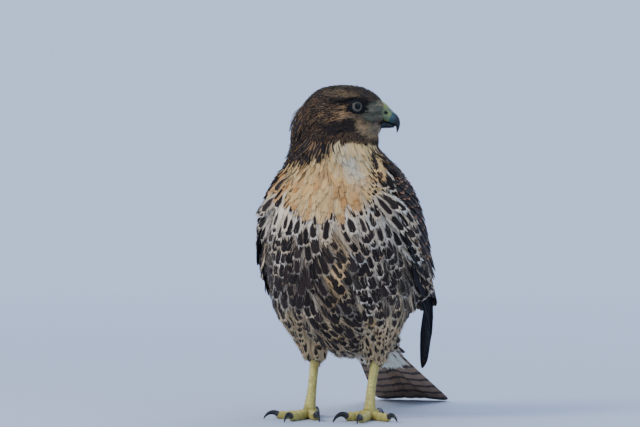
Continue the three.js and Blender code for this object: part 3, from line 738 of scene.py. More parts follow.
class Markings:
    """The colours and marks of feathers and skin, by place."""

    CREAM = linear(228, 192, 130)
    PEARL = linear(214, 204, 176)
    CINNAMON = linear(204, 150, 90)
    PALE = linear(225, 206, 177)
    DUSK = linear(122, 108, 92)
    OCHRE = linear(200, 156, 88)
    SPOT = linear(42, 33, 29)
    NAPE = linear(146, 112, 76)
    NAPE_DARK = linear(34, 27, 25)
    MANTLE = linear(118, 88, 62)
    MANTLE_DARK = linear(36, 29, 26)
    FACE = (
        Patch(-22, 20, 44, 12, (132, 108, 82), (42, 35, 31), 0.76),
        Patch(-15, 12, 20, 3.8, (160, 130, 92), (56, 45, 36), 0.5, 0.75, -0.05),
        Patch(-18, 4.5, 15, 3.2, (80, 64, 52), (26, 22, 21), 0.9, 0.85, 0.06),
        Patch(-14, -3, 9, 4.0, (156, 116, 80), (66, 48, 36), 0.4, 0.8, 0.1),
        Patch(-21, -10.5, 23, 8.2, (188, 148, 101), (74, 54, 40), 0.42, 0.9, 0.2),
        Patch(0, -11.5, 11, 3.6, (150, 128, 98), (58, 46, 36), 0.4, 0.8, 0.05),
        Patch(-38, -6, 18, 13, (138, 110, 80), (46, 37, 31), 0.66, 0.6),
        Patch(-14, -22, 20, 7.0, (92, 72, 56), (26, 22, 22), 0.88, 0.85, 0.12),
        Patch(12, -26, 12, 8.5, (200, 168, 122), (80, 64, 50), 0.36, 0.95, -0.55),
        Patch(2, -36, 15, 7, (146, 118, 88), (44, 35, 31), 0.56, 0.8, -0.2),
        Patch(21, -25, 8, 7, (170, 150, 118), (92, 80, 64), 0.3, 0.9, -0.3),
        Patch(17, -6, 12, 10.5, (134, 132, 108), (62, 62, 52), 0.4, 0.95),
        Patch(1, 0, 11.5, 9.5, (54, 48, 46), (15, 15, 18), 0.95, 0.92),
        Patch(12, 12, 11, 5, (106, 92, 76), (42, 36, 34), 0.6, 0.8, -0.4),
        Patch(23.5, 2.5, 3.6, 3.4, (168, 158, 128), (90, 82, 68), 0.36, 0.8, -0.5),
    )

    def __init__(self, seed: int = 3) -> None:
        """Starts the draw of each feather's own colour."""
        self.rng = np.random.default_rng(seed)

    def at(self, lie: Lie, vary: float = 1.0) -> tuple[Array, Array, Array]:
        """The ground colour, the mark's colour and the mark's shape at each place.

        Args:
            lie: The places.
            vary: How much each one differs from its neighbours.

        Returns:
            Ground colours, mark colours, and rows of half width, start and stop.
        """
        count = len(lie.places)
        tone, ink = np.tile(self.PALE, (count, 1)), np.tile(self.SPOT, (count, 1))
        mark = np.tile([0.6, 0.34, 0.04], (count, 1))
        self._belly(lie, tone, mark)
        plain = self._bib(lie, tone, mark)
        self._upper(lie, tone, ink, mark)
        self._face(lie, tone, ink, mark, vary)
        light = 1 + vary * (0.15 - 0.09 * plain)[:, None] * self.rng.standard_normal((count, 1))
        warm = 1 + vary * 0.05 * self.rng.standard_normal((count, 1)) * np.array([1, 0, -1.4])
        tone = np.clip(tone * np.clip(light, 0.65, 1.35) * warm, 0.004, 0.85)
        ink = np.clip(ink * (1 + vary * 0.3 * self.rng.standard_normal((count, 1))), 0.002, 0.5)
        mark[:, 0] *= np.clip(1 + vary * 0.14 * self.rng.standard_normal(count), 0.5, 1.5)
        return tone, ink, mark

    @staticmethod
    def _lay(share: Array, *pairs: tuple[Array, Array]) -> None:
        """Mixes each new value into its array by share."""
        for array, value in pairs:
            array += (value - array) * share[:, None]

    def _belly(self, lie: Lie, tone: Array, mark: Array) -> None:
        """Pale belly and sides with dark spots, ochre and streaked down the middle, barred on the thighs."""
        low = smooth(225, 150, lie.up)
        middle = np.exp(-((lie.across + 3) / 17) ** 2) * smooth(208, 184, lie.up) * (lie.round < 1.3)
        mark[:, 0] = 0.54 + 0.24 * low - 0.14 * middle + 0.1 * lie.grain
        mark[:, 1] = 0.36 - 0.14 * low - 0.3 * middle
        mark[:, 2] = 0.05 - 0.03 * low
        self._lay(middle * 0.8, (tone, self.OCHRE))
        self._lay(np.clip(low * (0.7 + 0.5 * lie.grain), 0, 1), (tone, self.DUSK))
        buff = smooth(34, 46, np.abs(lie.across + 4)) * smooth(216, 240, lie.up)
        self._lay(buff * 0.7, (tone, self.CREAM), (mark, np.array([0.64, 0.15, 0.06])))
        shade = smooth(36, 50, lie.across) * smooth(190, 206, lie.up)
        self._lay(shade * 0.8, (mark, np.array([0.74, 0.16, 0.05])), (tone, self.PALE * 0.72))
        tone *= (1 - smooth(0.95, 1.5, lie.round) * 0.2)[:, None]
        under = smooth(1.0, 0.4, lie.round) * smooth(0.62, 0.74, lie.share)
        self._lay(under, (tone, self.PALE), (mark, np.array([0.3, 0.45, 0.1])))
        leg = lie.thigh * smooth(135, 100, lie.up)
        self._lay(leg * 0.9, (tone, linear(196, 168, 126)), (mark, np.array([0.56, 0.36, 0.08])))

    def _bib(self, lie: Lie, tone: Array, mark: Array) -> Array:
        """Lays the plain cream and cinnamon chest, streaked at its sides, and returns where it is plain."""
        front = smooth(1.75, 1.4, lie.round)
        share = smooth(-3, 7, lie.up - lie.bib_edge) * front * smooth(60, 48, lie.across)
        slant = np.sin(lie.across * 0.1 + lie.up * 0.085 + 1.6 * lie.grain)
        warm = np.clip(smooth(282, 232, lie.up) * (0.62 + 0.5 * slant), 0, 1)
        cream = self.CREAM + (self.CINNAMON - self.CREAM) * warm[:, None]
        grey = np.exp(-((lie.across - 14 + 0.55 * (lie.up - 262)) / 11) ** 2 - ((lie.up - 264) / 17) ** 2)
        cream = cream + (self.PEARL - cream) * (0.8 * grey)[:, None]
        edge = np.maximum(smooth(27, 42, lie.across), smooth(-40, -60, lie.across))
        streak = np.where(edge > 0.2, 0.16 + 0.36 * edge, 0.0)
        streak = np.maximum(streak, 0.34 * smooth(10, 3, np.abs(lie.collar())))
        form = np.tile([0, 0.15, 0.05], (len(edge), 1))
        form[:, 0] = streak
        self._lay(share, (tone, cream), (mark, form))
        return share

    def _upper(self, lie: Lie, tone: Array, ink: Array, mark: Array) -> None:
        """Dark neck, nape and back with buff edges."""
        share = smooth(-5, 6, lie.collar())
        high = smooth(250, 285, lie.up)[:, None]
        ground = self.MANTLE + (self.NAPE - self.MANTLE) * high
        dark = self.MANTLE_DARK + (self.NAPE_DARK - self.MANTLE_DARK) * high
        form = np.tile([0, 0.02, 0.02], (len(high), 1))
        form[:, :1] = 0.92 - 0.2 * high
        self._lay(share, (tone, ground), (ink, dark), (mark, form))

    def _face(self, lie: Lie, tone: Array, ink: Array, mark: Array, vary: float) -> None:
        """The head's patches: crown, brow line, eye line, cheek, moustache, throat and lores."""
        x, _, z = lie.head.T
        on = lie.on_head * smooth(-75, -45, x)
        for one in self.FACE:
            across, over = x - one.x, z - one.z
            over = over - one.tilt * across
            reach = (across / one.long) ** 2 + (over / one.high) ** 2 + 0.3 * lie.streak
            share = smooth(1.7, 0.5, reach) * one.strength * on
            pick = self.rng.uniform(0.05, 0.95, len(x)) if vary else 0.5
            share = share * 0.35 + 0.65 * smooth(pick - 0.12, pick + 0.12, share)
            form = np.array([one.width, 0.02, 0.03])
            self._lay(share, (tone, linear(*one.tone)), (ink, linear(*one.ink)), (mark, form))
        tone *= 1 + (on * np.clip(0.28 * lie.streak, -0.45, 0.45))[:, None]


# Feathers

class Cut(Enum):
    """The shapes that feathers are cut to."""

    POINT = "point"
    BODY = "body"
    COVERT = "covert"
    FLIGHT = "flight"
    TAIL = "tail"
    BRISTLE = "bristle"


def strand(stations: list[tuple[float, float, float, float]], ridge: float) -> Shape:
    """A tapered strand with a low ridge, closed.

    Args:
        stations: For each ring: across, along, half width and height, in the feather's own shares.
        ridge: Height of its middle over its edges.

    Returns:
        Its points as across, along and height, its faces of four points, and those of three.
    """
    return loft(np.array([[(x - w, y, h), (x, y, h + ridge * min(1, w * 3)), (x + w, y, h)]
                          for x, y, w, h in stations]))


@dataclass(frozen=True)
class Vane:
    """A thin vane with a raised shaft: its outline, its places across, its thickness and its shaft.

    The outline is along and half width for each ring. Thickness and shaft are shares of the half width.
    """

    outline: tuple[tuple[float, float], ...]
    columns: tuple[float, ...]
    thick: float
    shaft: float

    def cut(self, rng: Generator) -> Shape:
        """The vane with a ragged outline: its points, its faces of four points, and those of three."""
        rings = []
        for y, w in [(y, w * (1 + rng.uniform(-0.025, 0.025))) for y, w in self.outline]:
            top = [(c * w, y, self.thick / 2 + (0 if c else self.shaft * (1 - y))) for c in self.columns]
            under = [(c * w, y, -self.thick / 2) for c in self.columns[::-1]]
            rings.append(top + under)
        return loft(np.array(rings))


FINE_COLUMNS = (-1, -0.55, -0.12, 0, 0.12, 0.55, 1)
VANES = {
    Cut.COVERT: Vane(
        ((0, 0.3), (0.15, 0.62), (0.35, 0.9), (0.6, 1.0), (0.78, 0.93), (0.9, 0.68), (0.97, 0.36),
         (1.0, 0.08)),
        (-1, -0.5, 0, 0.5, 1), thick=0.07, shaft=0.03),
    Cut.FLIGHT: Vane(
        ((0, 0.25), (0.06, 0.5), (0.15, 0.8), (0.3, 0.96), (0.45, 1.0), (0.6, 0.98), (0.72, 0.93),
         (0.82, 0.83), (0.89, 0.68), (0.94, 0.5), (0.975, 0.3), (1.0, 0.06)),
        FINE_COLUMNS, thick=0.05, shaft=0.09),
    Cut.TAIL: Vane(
        ((0, 0.25), (0.06, 0.5), (0.15, 0.74), (0.3, 0.86), (0.45, 0.93), (0.6, 0.98), (0.75, 1.0),
         (0.86, 0.99), (0.93, 0.9), (0.97, 0.72), (0.99, 0.45), (1.0, 0.12)),
        FINE_COLUMNS, thick=0.035, shaft=0.07),
}


def merged(parts: list[Shape]) -> Shape:
    """Several closed forms as one."""
    starts = np.cumsum([0] + [len(places) for places, _, _ in parts[:-1]])
    return (np.concatenate([places for places, _, _ in parts]),
            np.concatenate([quads + start for (_, quads, _), start in zip(parts, starts)]),
            np.concatenate([tris + start for (_, _, tris), start in zip(parts, starts)]))


def downy(rng: Generator) -> Shape:
    """A soft body feather: a middle strand, loose barbs down both sides, and three at the tip."""
    parts = [strand([(0, 0, 0.3, 0), (0, 0.2, 0.62, 0), (0, 0.45, 0.84, 0), (0, 0.7, 0.8, 0),
                     (0, 0.86, 0.55, 0), (0, 0.97, 0.1, 0)], 0.16)]
    for side in (-1, 1):
        for k, wide in enumerate((0.98, 1.04, 1.0, 0.86, 0.6)):
            y = 0.24 + 0.14 * k + rng.uniform(-0.02, 0.02)
            reach = wide * rng.uniform(0.92, 1.08)
            lift = rng.uniform(-0.06, 0.04)
            parts.append(strand([(side * 0.42, y, 0.14, 0.0), (side * reach * 0.84, y + 0.11, 0.13, lift / 2),
                                 (side * reach, y + 0.24, 0.015, lift)], 0.05))
    for x in (-0.3, 0.05, 0.32):
        x = x + rng.uniform(-0.06, 0.06)
        end = (x * 1.25, 1.0 + rng.uniform(-0.03, 0.05), 0.012, rng.uniform(-0.05, 0.06))
        parts.append(strand([(x * 0.7, 0.7, 0.16, 0.02), (x, 0.9, 0.13, 0.02), end], 0.05))
    return merged(parts)


def cut_shape(cut: Cut, rng: Generator) -> Shape:
    """One feather of a kind, in shares: across -1 to 1, along 0 to 1, and height in half widths.

    Args:
        cut: The kind.
        rng: Draws its small irregularities.

    Returns:
        Its points, its faces of four points, and those of three.
    """
    if cut is Cut.POINT:
        tip = rng.uniform(-0.15, 0.15)
        return strand([(0, 0, 0.3, 0), (0, 0.3, 0.85, 0), (0, 0.62, 0.95, 0), (tip / 2, 0.86, 0.5, 0),
                       (tip, 1.0, 0.05, 0)], 0.22)
    if cut is Cut.BRISTLE:
        return strand([(0, 0, 0.5, 0), (0.1, 0.5, 0.35, 0), (0.3, 1.0, 0.04, 0)], 0.3)
    if cut is Cut.BODY:
        return downy(rng)
    return VANES[cut].cut(rng)


RISE = np.linspace(0, 1, 5)


@dataclass
class Laid:
    """Feathers laid on a surface: for each the stations of its middle line with their normals, and its looks.

    Rise holds each one's height at the stops of RISE. Camber bends its edges down, and roll tilts it.
    """

    line: Array
    normal: Array
    width: Array
    tone: Array
    ink: Array
    mark: Array
    bars: Array
    patch: Array
    rise: Array
    camber: Array
    roll: Array
    patch_size: float = 0.003

    def grow(self, form: Form, cut: Cut, rng: Generator, variants: int = 4) -> None:
        """Adds the feathers to a form.

        Args:
            form: What they are added to.
            cut: Their kind.
            rng: Draws which variant each one gets.
            variants: How many shapes of that kind are drawn.
        """
        which = rng.integers(0, variants, len(self.line))
        for k in range(variants):
            shape = cut_shape(cut, rng)
            chosen = np.flatnonzero(which == k)
            if len(chosen):
                self._add(form, shape, chosen)

    def _add(self, form: Form, shape: Shape, chosen: Array) -> None:
        """Adds those that are chosen in one shape."""
        points, quads, tris = shape
        x, y, h = points.T
        stations = self.line.shape[1]
        at = np.clip(y, 0, 1) * (stations - 1)
        i = np.minimum(at.astype(int), stations - 2)
        f = (at - i)[None, :, None]
        line, normal = self.line[chosen], self.normal[chosen]
        way = unit(np.gradient(line, axis=1))
        mixed = [a[:, i] * (1 - f) + a[:, i + 1] * f for a in (line, way, normal)]
        centre, along, up = mixed[0], unit(mixed[1]), mixed[2]
        over = np.maximum(y - 1, 0)[None, :, None]
        length = np.linalg.norm(line[:, -1] - line[:, 0], axis=1)[:, None, None]
        centre = centre + along * over * length
        across = unit(np.cross(along, up))
        up = np.cross(across, along)
        width = self.width[chosen][:, None]
        rise = np.array([np.interp(y, RISE, row) for row in self.rise[chosen]])
        lift = h[None] * width + rise - self.camber[chosen][:, None] * width * x[None] ** 2
        lift = lift - self.roll[chosen][:, None] * width * x[None]
        places = centre + across * (x[None] * width)[..., None] + up * lift[..., None]
        count, size = len(chosen), len(points)
        start = (np.arange(count) * size)[:, None, None]
        vane = np.tile(np.c_[np.clip(x, -1, 1) * 0.5 + 0.5, np.clip(y, 0, 1)], (count, 1))
        spot = np.c_[np.clip(x, -1, 1) * 0.5, np.clip(y, 0, 1) - 0.5] * self.patch_size
        whole = {"Tone": self.tone, "Ink": self.ink, "Mark": self.mark, "Bars": self.bars,
                 "OFBake": self.patch}
        layers = {name: np.repeat(values[chosen], size, axis=0) for name, values in whole.items()}
        layers["OFBake"] = layers["OFBake"] + np.tile(spot, (count, 1))
        quads, tris = (quads[None] + start).reshape(-1, 4), (tris[None] + start).reshape(-1, 3)
        form.add(places.reshape(-1, 3), quads, tris, Vane=vane, **layers)


def bare_bars(count: int, rng: Generator, strength: float = 0.0) -> Array:
    """Bar strengths, with each feather's own place in the strands as the second and third number."""
    return np.c_[np.full(count, strength), rng.uniform(0, 50, count), rng.uniform(0, 50, count)]


@dataclass(frozen=True)
class Tract:
    """A part of the coat: where its feathers grow, how close, how long and how wide."""

    part: str
    apart: float
    long: float
    wide: float
    cut: Cut
    lift: float = 2.2
    sunk: float = 0.6
    camber: float = 0.18
    loose: float = 0.25
    stray: float = 0.1


@dataclass
class Skin:
    """One closed skin under the whole coat, with the ways to lay feathers on it.

    The depths say how far it lies under the outline of the coat, and over and under where it lies round the
    eyeball and behind it.
    """

    marks: Markings
    voxel: float = 1.7
    coarse: float = 2.6
    arm_end: float = 0.52
    arm_thick: float = 2.4
    arm_inner: float = 24.0
    coat_depth: float = 3.4
    less_on_head: float = 1.9
    less_on_face: float = 0.7
    less_on_leg: float = 0.8
    rump_depth: float = 2.0
    wing_depth: float = 2.6
    eye_over: float = 0.5
    eye_under: float = 2.0

    def __post_init__(self) -> None:
        """Builds the skin from trunk, head, brows, thighs, folded arms and the neck's bunched feathers."""
        form = Form()
        form.loft(self._trunk())
        form.loft(self._skull())
        form.loft(tube(CAPE, 30, 32))
        for side in (-1, 1):
            form.loft(self._brow(side))
            form.loft(tube(THIGH, 30, 36) * (side, 1, 1))
            form.loft(self._arm(side))
        self.piece = form.build("skin", skin_finish())
        self._fuse()
        self._draw_in()
        self._paint()

    @staticmethod
    def _trunk() -> Array:
        """Rings of neck, body and rump."""
        at = np.linspace(0, 0.88, 70)
        way = unit(np.c_[np.zeros(len(at)), np.gradient(between(TRUNK, at)[:, 1:3], axis=0)])
        back = np.c_[np.zeros(len(at)), -way[:, 2], way[:, 1]]
        x, y, z, width, front, behind = between(TRUNK, at).T
        ahead = np.cos(turns(64))
        deep = -ahead * np.where(ahead > 0, front[:, None], behind[:, None])
        rings = np.c_[x, y, z][:, None] + back[:, None] * deep[..., None]
        rings[..., 0] = x[:, None] + np.sin(turns(64)) * width[:, None]
        return rings

    @staticmethod
    def _skull() -> Array:
        """Rings of the head."""
        return upright_rings(*between(HEAD, np.linspace(0, 1, 50)).T, 48, 0.88)

    @staticmethod
    def _brow(side: int) -> Array:
        """Rings of one brow."""
        x, y, z, radius = between(BROW, np.linspace(0, 1, 16)).T
        across = (side * y)[:, None] + radius[:, None] * 1.3 * np.cos(turns(16))
        up = z[:, None] + radius[:, None] * 0.72 * np.sin(turns(16))
        rings = np.stack([np.broadcast_to(x[:, None], up.shape), across, up], -1)
        return from_head(rings)

    def _arm(self, side: int) -> Array:
        """Rings of one folded arm, which lies along the top of its wing."""
        rings, angle = [], turns(36)
        for s in np.linspace(0, 1, 20) ** 1.15 * self.arm_end:
            round_end = min(1, 0.25 + math.sqrt(1 - (1 - min(s / 0.12, 1)) ** 2))
            thick = self.arm_thick * (1 - 0.6 * s) * round_end
            inner = thick + self.arm_inner * max(0, 1 - s / 0.62) ** 0.5
            out = np.where(np.sin(angle) > 0, thick, inner) * np.sin(angle)
            at = np.full(len(angle), s)
            t = 0.5 - 0.5 * round_end * np.cos(angle)
            rings.append(wing_at(at, t) + wing_normal(at, t) * out[:, None])
        return np.array(rings) * (side, 1, 1)

    def _fuse(self) -> None:
        """Makes one closed surface of the forms."""
        bpy.ops.object.select_all(action="DESELECT")
        self.piece.select_set(True)
        bpy.context.view_layer.objects.active = self.piece
        fuse = self.piece.modifiers.new("fuse", "REMESH")
        fuse.mode = "VOXEL"
        fuse.voxel_size = self.voxel * MM
        bpy.ops.object.modifier_apply(modifier="fuse")
        even = self.piece.modifiers.new("even", "SMOOTH")
        even.factor, even.iterations = 0.5, 6
        bpy.ops.object.modifier_apply(modifier="even")

    def _read(self) -> tuple[Array, Array]:
        """The skin's points in the bird's frame, and their normals."""
        mesh = self.piece.data
        places, normals = (np.zeros(len(mesh.vertices) * 3, np.float32) for _ in range(2))
        mesh.vertices.foreach_get("co", places)
        mesh.vertices.foreach_get("normal", normals)
        places, normals = (values.reshape(-1, 3).astype(float) for values in (places, normals))
        return places / MM - (0, SHIFT_Y, 0), normals

    def _draw_in(self) -> None:
        """Draws the skin in by the coat's depth, and to the eyes."""
        places, normals = self._read()
        lie = Lie(places)
        face = smooth(-20, 10, lie.head[:, 0])
        depth = self.coat_depth - self.less_on_head * lie.on_head - self.less_on_face * face * lie.on_head
        depth = np.where(lie.share > 0.74, np.minimum(depth, self.rump_depth), depth)
        depth = depth - self.less_on_leg * lie.thigh * smooth(95, 60, lie.up)
        depth = depth + (self.wing_depth - depth) * lie.wing
        places = places - normals * depth[:, None]
        head = to_head(places)
        for eye in (Eye(Side.RIGHT), Eye(Side.LEFT)):
            out = head - eye.centre
            far = np.linalg.norm(out, axis=1)
            turn = np.degrees(np.arccos(np.clip(out @ eye.gaze / np.maximum(far, 1e-6), -1, 1)))
            sink = smooth(44, 34, turn)
            wanted = (eye.radius + self.eye_over) * (1 - sink) + (eye.radius - self.eye_under) * sink
            share = smooth(64, 50, turn) * (far < 16)
            head += (unit(out) * wanted[:, None] - out) * share[:, None]
        near = np.abs(head - to_head(places)).max(1) > 0
        places[near] = from_head(head[near])
        mesh = self.piece.data
        mesh.vertices.foreach_set("co", world(places).astype(np.float32).ravel())
        mesh.update()
        mesh.shade_smooth()
        self.places, _ = self._read()
        mesh.calc_loop_triangles()
        tris = np.zeros(len(mesh.loop_triangles) * 3, np.int32)
        mesh.loop_triangles.foreach_get("vertices", tris)
        self.tris = tris.reshape(-1, 3)
        self.tree = BVHTree.FromPolygons(self.places.tolist(), self.tris.tolist())

    def _paint(self) -> None:
        """Gives the skin the coat's markings."""
        tone, ink, mark = self.marks.at(Lie(self.places), 0.0)
        for label, values in (("Tone", tone), ("Ink", ink), ("Mark", mark)):
            write_layer(self.piece.data, label, values, np.zeros(0, int))

    def scatter(self, want: Array, apart: float, rng: Generator) -> Array:
        """Places spread evenly over part of the skin.

        Args:
            want: Which points of the skin belong to the part.
            apart: The least distance between two places.
            rng: Draws them.

        Returns:
            The places.
        """
        tris = self.tris[want[self.tris].all(1)]
        a, b, c = (self.places[tris[:, k]] for k in range(3))
        area = np.linalg.norm(np.cross(b - a, c - a), axis=1) / 2
        count = int(area.sum() / apart ** 2 * 7) + 4
        pick = rng.choice(len(tris), count, p=area / area.sum())
        r1, r2 = np.sqrt(rng.random(count)), rng.random(count)
        share = np.c_[1 - r1, r1 * (1 - r2), r1 * r2]
        places = np.einsum("ij,ijk->ik", share, self.places[tris[pick]])
        return places[spread(places, apart)]

    def follow(self, roots: Array, length: Array, stations: int, stray: Array) -> tuple[Array, Array, Array]:
        """Middle lines of feathers that follow the lie of the coat over the skin.

        Args:
            roots: Where they start.
            length: How long each one is.
            stations: How many points each line has.
            stray: How far each one turns from the lie, in radians.

        Returns:
            The lines, the normals at their points, and which lines stay on the skin for their first half.
        """
        here = roots.copy()
        lines, normals = [], []
        step = (length / (stations - 1))[:, None]
        free = np.zeros((len(roots), 1), bool)
        way = up = np.zeros_like(roots)
        kept = np.ones(len(roots), bool)
        for k in range(stations):
            found = [self.tree.find_nearest(Vector(p)) for p in here]
            on = np.array([f[0] for f in found])
            if k:
                free |= np.linalg.norm(on - here, axis=1, keepdims=True) > 0.5 * step
            if k == stations // 2:
                kept = ~free[:, 0]
            here = np.where(free, here, on)
            up = np.where(free, up, np.array([f[1] for f in found]))
            laid = Lie(here).flow()
            laid = unit(laid - up * np.einsum("ij,ij->i", laid, up)[:, None])
            way = np.where(free, way, unit(laid + np.cross(up, laid) * np.tan(stray)[:, None]))
            lines.append(here)
            normals.append(up)
            here = here + way * step
        lines, normals = np.stack(lines, 1), np.stack(normals, 1)
        for _ in range(2):
            normals[:, 1:-1] = unit(normals[:, :-2] + normals[:, 1:-1] * 2 + normals[:, 2:])
            lines[:, 1:-1] = (lines[:, :-2] + lines[:, 1:-1] * 2 + lines[:, 2:]) / 4
        return lines, normals, kept


AROUND = tuple(itertools.product((-1, 0, 1), repeat=3))


def spread(places: Array, apart: float) -> list[int]:
    """Picks places in turn that keep their distance from those picked before."""
    cells: dict[tuple[int, int, int], list[int]] = {}
    kept = []
    rows = places.tolist()
    limit = apart * apart
    for i, (kx, ky, kz) in enumerate(np.floor(places / apart).astype(int).tolist()):
        px, py, pz = rows[i]
        near = (rows[j] for x, y, z in AROUND for j in cells.get((kx + x, ky + y, kz + z), ()))
        if all((px - x) ** 2 + (py - y) ** 2 + (pz - z) ** 2 >= limit for x, y, z in near):
            cells.setdefault((kx, ky, kz), []).append(i)
            kept.append(i)
    return kept


def unwrap(lie: Lie) -> Array:
    """Where each place lies on an unwrap of the skin's own shape: trunk, head and thighs side by side."""
    turn = np.arctan2(lie.side, -lie.depth / 60) / (2 * np.pi) + 0.5
    trunk = np.c_[0.02 + 0.56 * turn, 0.98 - 0.96 * lie.share]
    x, y, z = lie.head.T
    turn = np.arctan2(y, z + 12) / (2 * np.pi) + 0.5
    head = np.c_[0.62 + 0.36 * turn, 0.5 + 0.48 * np.clip((x + 75) / 110, 0, 1)]
    px, py, pz = lie.places.T
    turn = np.arctan2(np.abs(px) - 38, py - 18) / (2 * np.pi) + 0.5
    leg = np.c_[np.where(px > 0, 0.62, 0.81) + 0.17 * turn, 0.02 + 0.44 * np.clip((pz - 50) / 110, 0, 1)]
    out = np.where((lie.on_head > 0.5)[:, None], head, trunk)
    return np.where((lie.thigh > 0.5)[:, None], leg, out)


@dataclass(frozen=True)
class Coat:
    """The small feathers of head, neck, chest, belly, thighs, back and rump.

    Bill edge holds heights on the head and how far forward its feathers reach there.
    """

    skin: Skin
    marks: Markings
    stations: int = 6
    quick_share: float = 1.6
    head_parts: tuple[str, ...] = ("face", "crown", "neck")
    bib_sides: tuple[float, float] = (-46, 34)
    bill_edge: tuple = ((-30, -22, -17, -13, -4, 4, 8), (26, 26, 26, 28, 28.5, 26.5, 25))
    tracts: tuple[Tract, ...] = (
        Tract("face", 1.0, 4.7, 0.62, Cut.POINT, 0.9, 0.3, 0.15, stray=0.15),
        Tract("crown", 1.6, 8.6, 1.1, Cut.POINT, 1.5, 0.4, 0.2, 0.6, 0.13),
        Tract("neck", 2.8, 18, 2.2, Cut.POINT, 3.2, 0.6, 0.2, 0.9, 0.16),
        Tract("bib", 3.4, 21, 3.0, Cut.BODY, 2.6, 0.6, 0.14, stray=0.16),
        Tract("breast", 8.2, 31, 7.2, Cut.BODY, 4.0, 0.8, 0.16, stray=0.14),
        Tract("side", 6.6, 33, 6.4, Cut.BODY, 8.6, 0.8, 0.16, stray=0.12),
        Tract("back", 9.0, 29, 8.0, Cut.COVERT, 3.4, 0.8, 0.14, stray=0.08),
        Tract("vent", 7.0, 26, 6.4, Cut.BODY, 3.2, 0.8, 0.16, stray=0.12),
        Tract("thigh", 5.2, 25, 4.4, Cut.BODY, 3.2, 0.6, 0.16, stray=0.18),
        Tract("down", 4.2, 19, 0.55, Cut.BRISTLE, 5.6, 0.5, 0.0, stray=0.3),
        Tract("lores", 1.25, 4.4, 0.17, Cut.BRISTLE, 1.5, 0.3, 0.0, 0.6, 0.35),
        Tract("silk", 2.5, 15, 0.42, Cut.BRISTLE, 5.0, 0.4, 0.0, 0.35, 0.22),
    )

    def zones(self, lie: Lie) -> dict[str, Array]:
        """Which places belong to each tract."""
        x, y, z = lie.head.T
        head = lie.on_head > 0.45
        neck = (lie.collar() > 0) & (lie.up > 228) & ~head
        face = head & (x > -9) & (np.abs(y) > 3)
        eyes = np.zeros(len(x), bool)
        for eye in (Eye(Side.RIGHT), Eye(Side.LEFT)):
            out = lie.head - eye.centre
            eyes |= (unit(out) @ eye.gaze > math.cos(math.radians(49))) & (np.linalg.norm(out, axis=1) < 15)
        bill = head & (x > np.interp(z, *self.bill_edge))
        back = ~head & ~neck & (lie.round > 1.75)
        thigh = ~back & (lie.thigh > 0.5)
        vent = ~head & ~neck & ~thigh & (lie.round <= 1.75) & (lie.share > 0.62)
        rest = ~head & ~neck & ~back & ~thigh & ~vent
        side = rest & (lie.brink > 0.5) & (lie.up > 110) & (lie.up < 246)
        inner = (lie.across > self.bib_sides[0]) & (lie.across < self.bib_sides[1])
        bib = rest & ~side & inner & (lie.up > lie.bib_edge + 12)
        breast = rest & ~side & ~bib
        parts = {
            "face": face & ~eyes & ~bill, "crown": head & ~face & ~eyes & ~bill, "neck": neck, "bib": bib,
            "breast": breast, "side": side, "back": back, "vent": vent, "thigh": thigh,
            "down": (breast & (lie.round > 0.75)) | thigh | side,
            "lores": face & ~bill & (x > 7) & (z > -20),
            "silk": (breast & (lie.up < lie.bib_edge - 2)) | vent | side,
        }
        return {name: part & (lie.wing < 0.5) for name, part in parts.items()}

    def build(self) -> None:
        """Grows each tract as a piece."""
        finish = FeatherFinish("feathers_soft").make()
        zones = self.zones(Lie(self.skin.places))
        for seed, tract in enumerate(self.tracts):
            form = self._tract(tract, zones[tract.part], np.random.default_rng(100 + seed))
            slot = "head_feathers" if tract.part in self.head_parts else "breast_feathers"
            settle(form.build(f"coat_{tract.part}", finish), slot)

    def _tract(self, tract: Tract, want: Array, rng: Generator) -> Form:
        """Lays the feathers of one tract where they are wanted."""
        larger = 1.0
        roots = self.skin.scatter(want, tract.apart * larger, rng)
        length = tract.long * rng.uniform(0.9, 1.12, len(roots))
        stray = rng.normal(0, tract.stray, len(roots))
        lines, normals, kept = self.skin.follow(roots, length, self.stations, stray)
        roots, lines, normals = roots[kept], lines[kept], normals[kept]
        count = len(roots)
        shown = Lie(lines[:, -2])
        tone, ink, mark = self.marks.at(shown)
        if tract.part == "lores":
            tone = ink * 0.6
        if tract.part == "down":
            mark[:, 0] = 0
        if tract.part == "silk":
            mark[:, 0] = np.where(rng.random(count) < 0.4 + 0.2 * smooth(210, 160, shown.up), 3, 0)
        stand = tract.lift * (1 + tract.loose * rng.uniform(-0.5, 1, count))
        rise = (stand + tract.sunk)[:, None] * RISE ** 0.8 - tract.sunk
        laid = Laid(lines, normals, tract.wide * rng.uniform(0.9, 1.12, count) * larger, tone, ink, mark,
                    bare_bars(count, rng), unwrap(Lie(roots)), rise, np.full(count, tract.camber),
                    rng.normal(0, 0.05, count))
        form = Form()
        laid.grow(form, tract.cut, rng)
        return form


# Wings

WING_LOW = np.array([[54, -32, 250], [75, -21, 211], [82, 0, 168], [84, 33, 129], [79, 82, 95], [62, 146, 62],
                     [38, 214, 33]], float)
WING_TOP = np.array([[32, 32, 264], [30, 60, 240], [24, 84, 202], [18, 100, 157], [15, 128, 122],
                     [15, 172, 90], [21, 220, 45]], float)
WING_OUT = np.array([0.76, 0.53, 0.38])
WING_BULGE = 27.0


def wing_at(s: Array, t: Array) -> Array:
    """Places on the left wing: s runs from shoulder to tip, t from its lower edge to its upper one."""
    low, high = between(WING_LOW, s), between(WING_TOP, s)
    share, run = np.clip(t, 0, 1), np.clip(s, 0, 1)
    swell = WING_BULGE * np.sin(np.pi * (0.2 + 0.8 * run)).clip(0) ** 0.8 * (4 * share * (1 - share)) ** 0.8
    return low + (high - low) * t[:, None] + WING_OUT * swell[:, None]


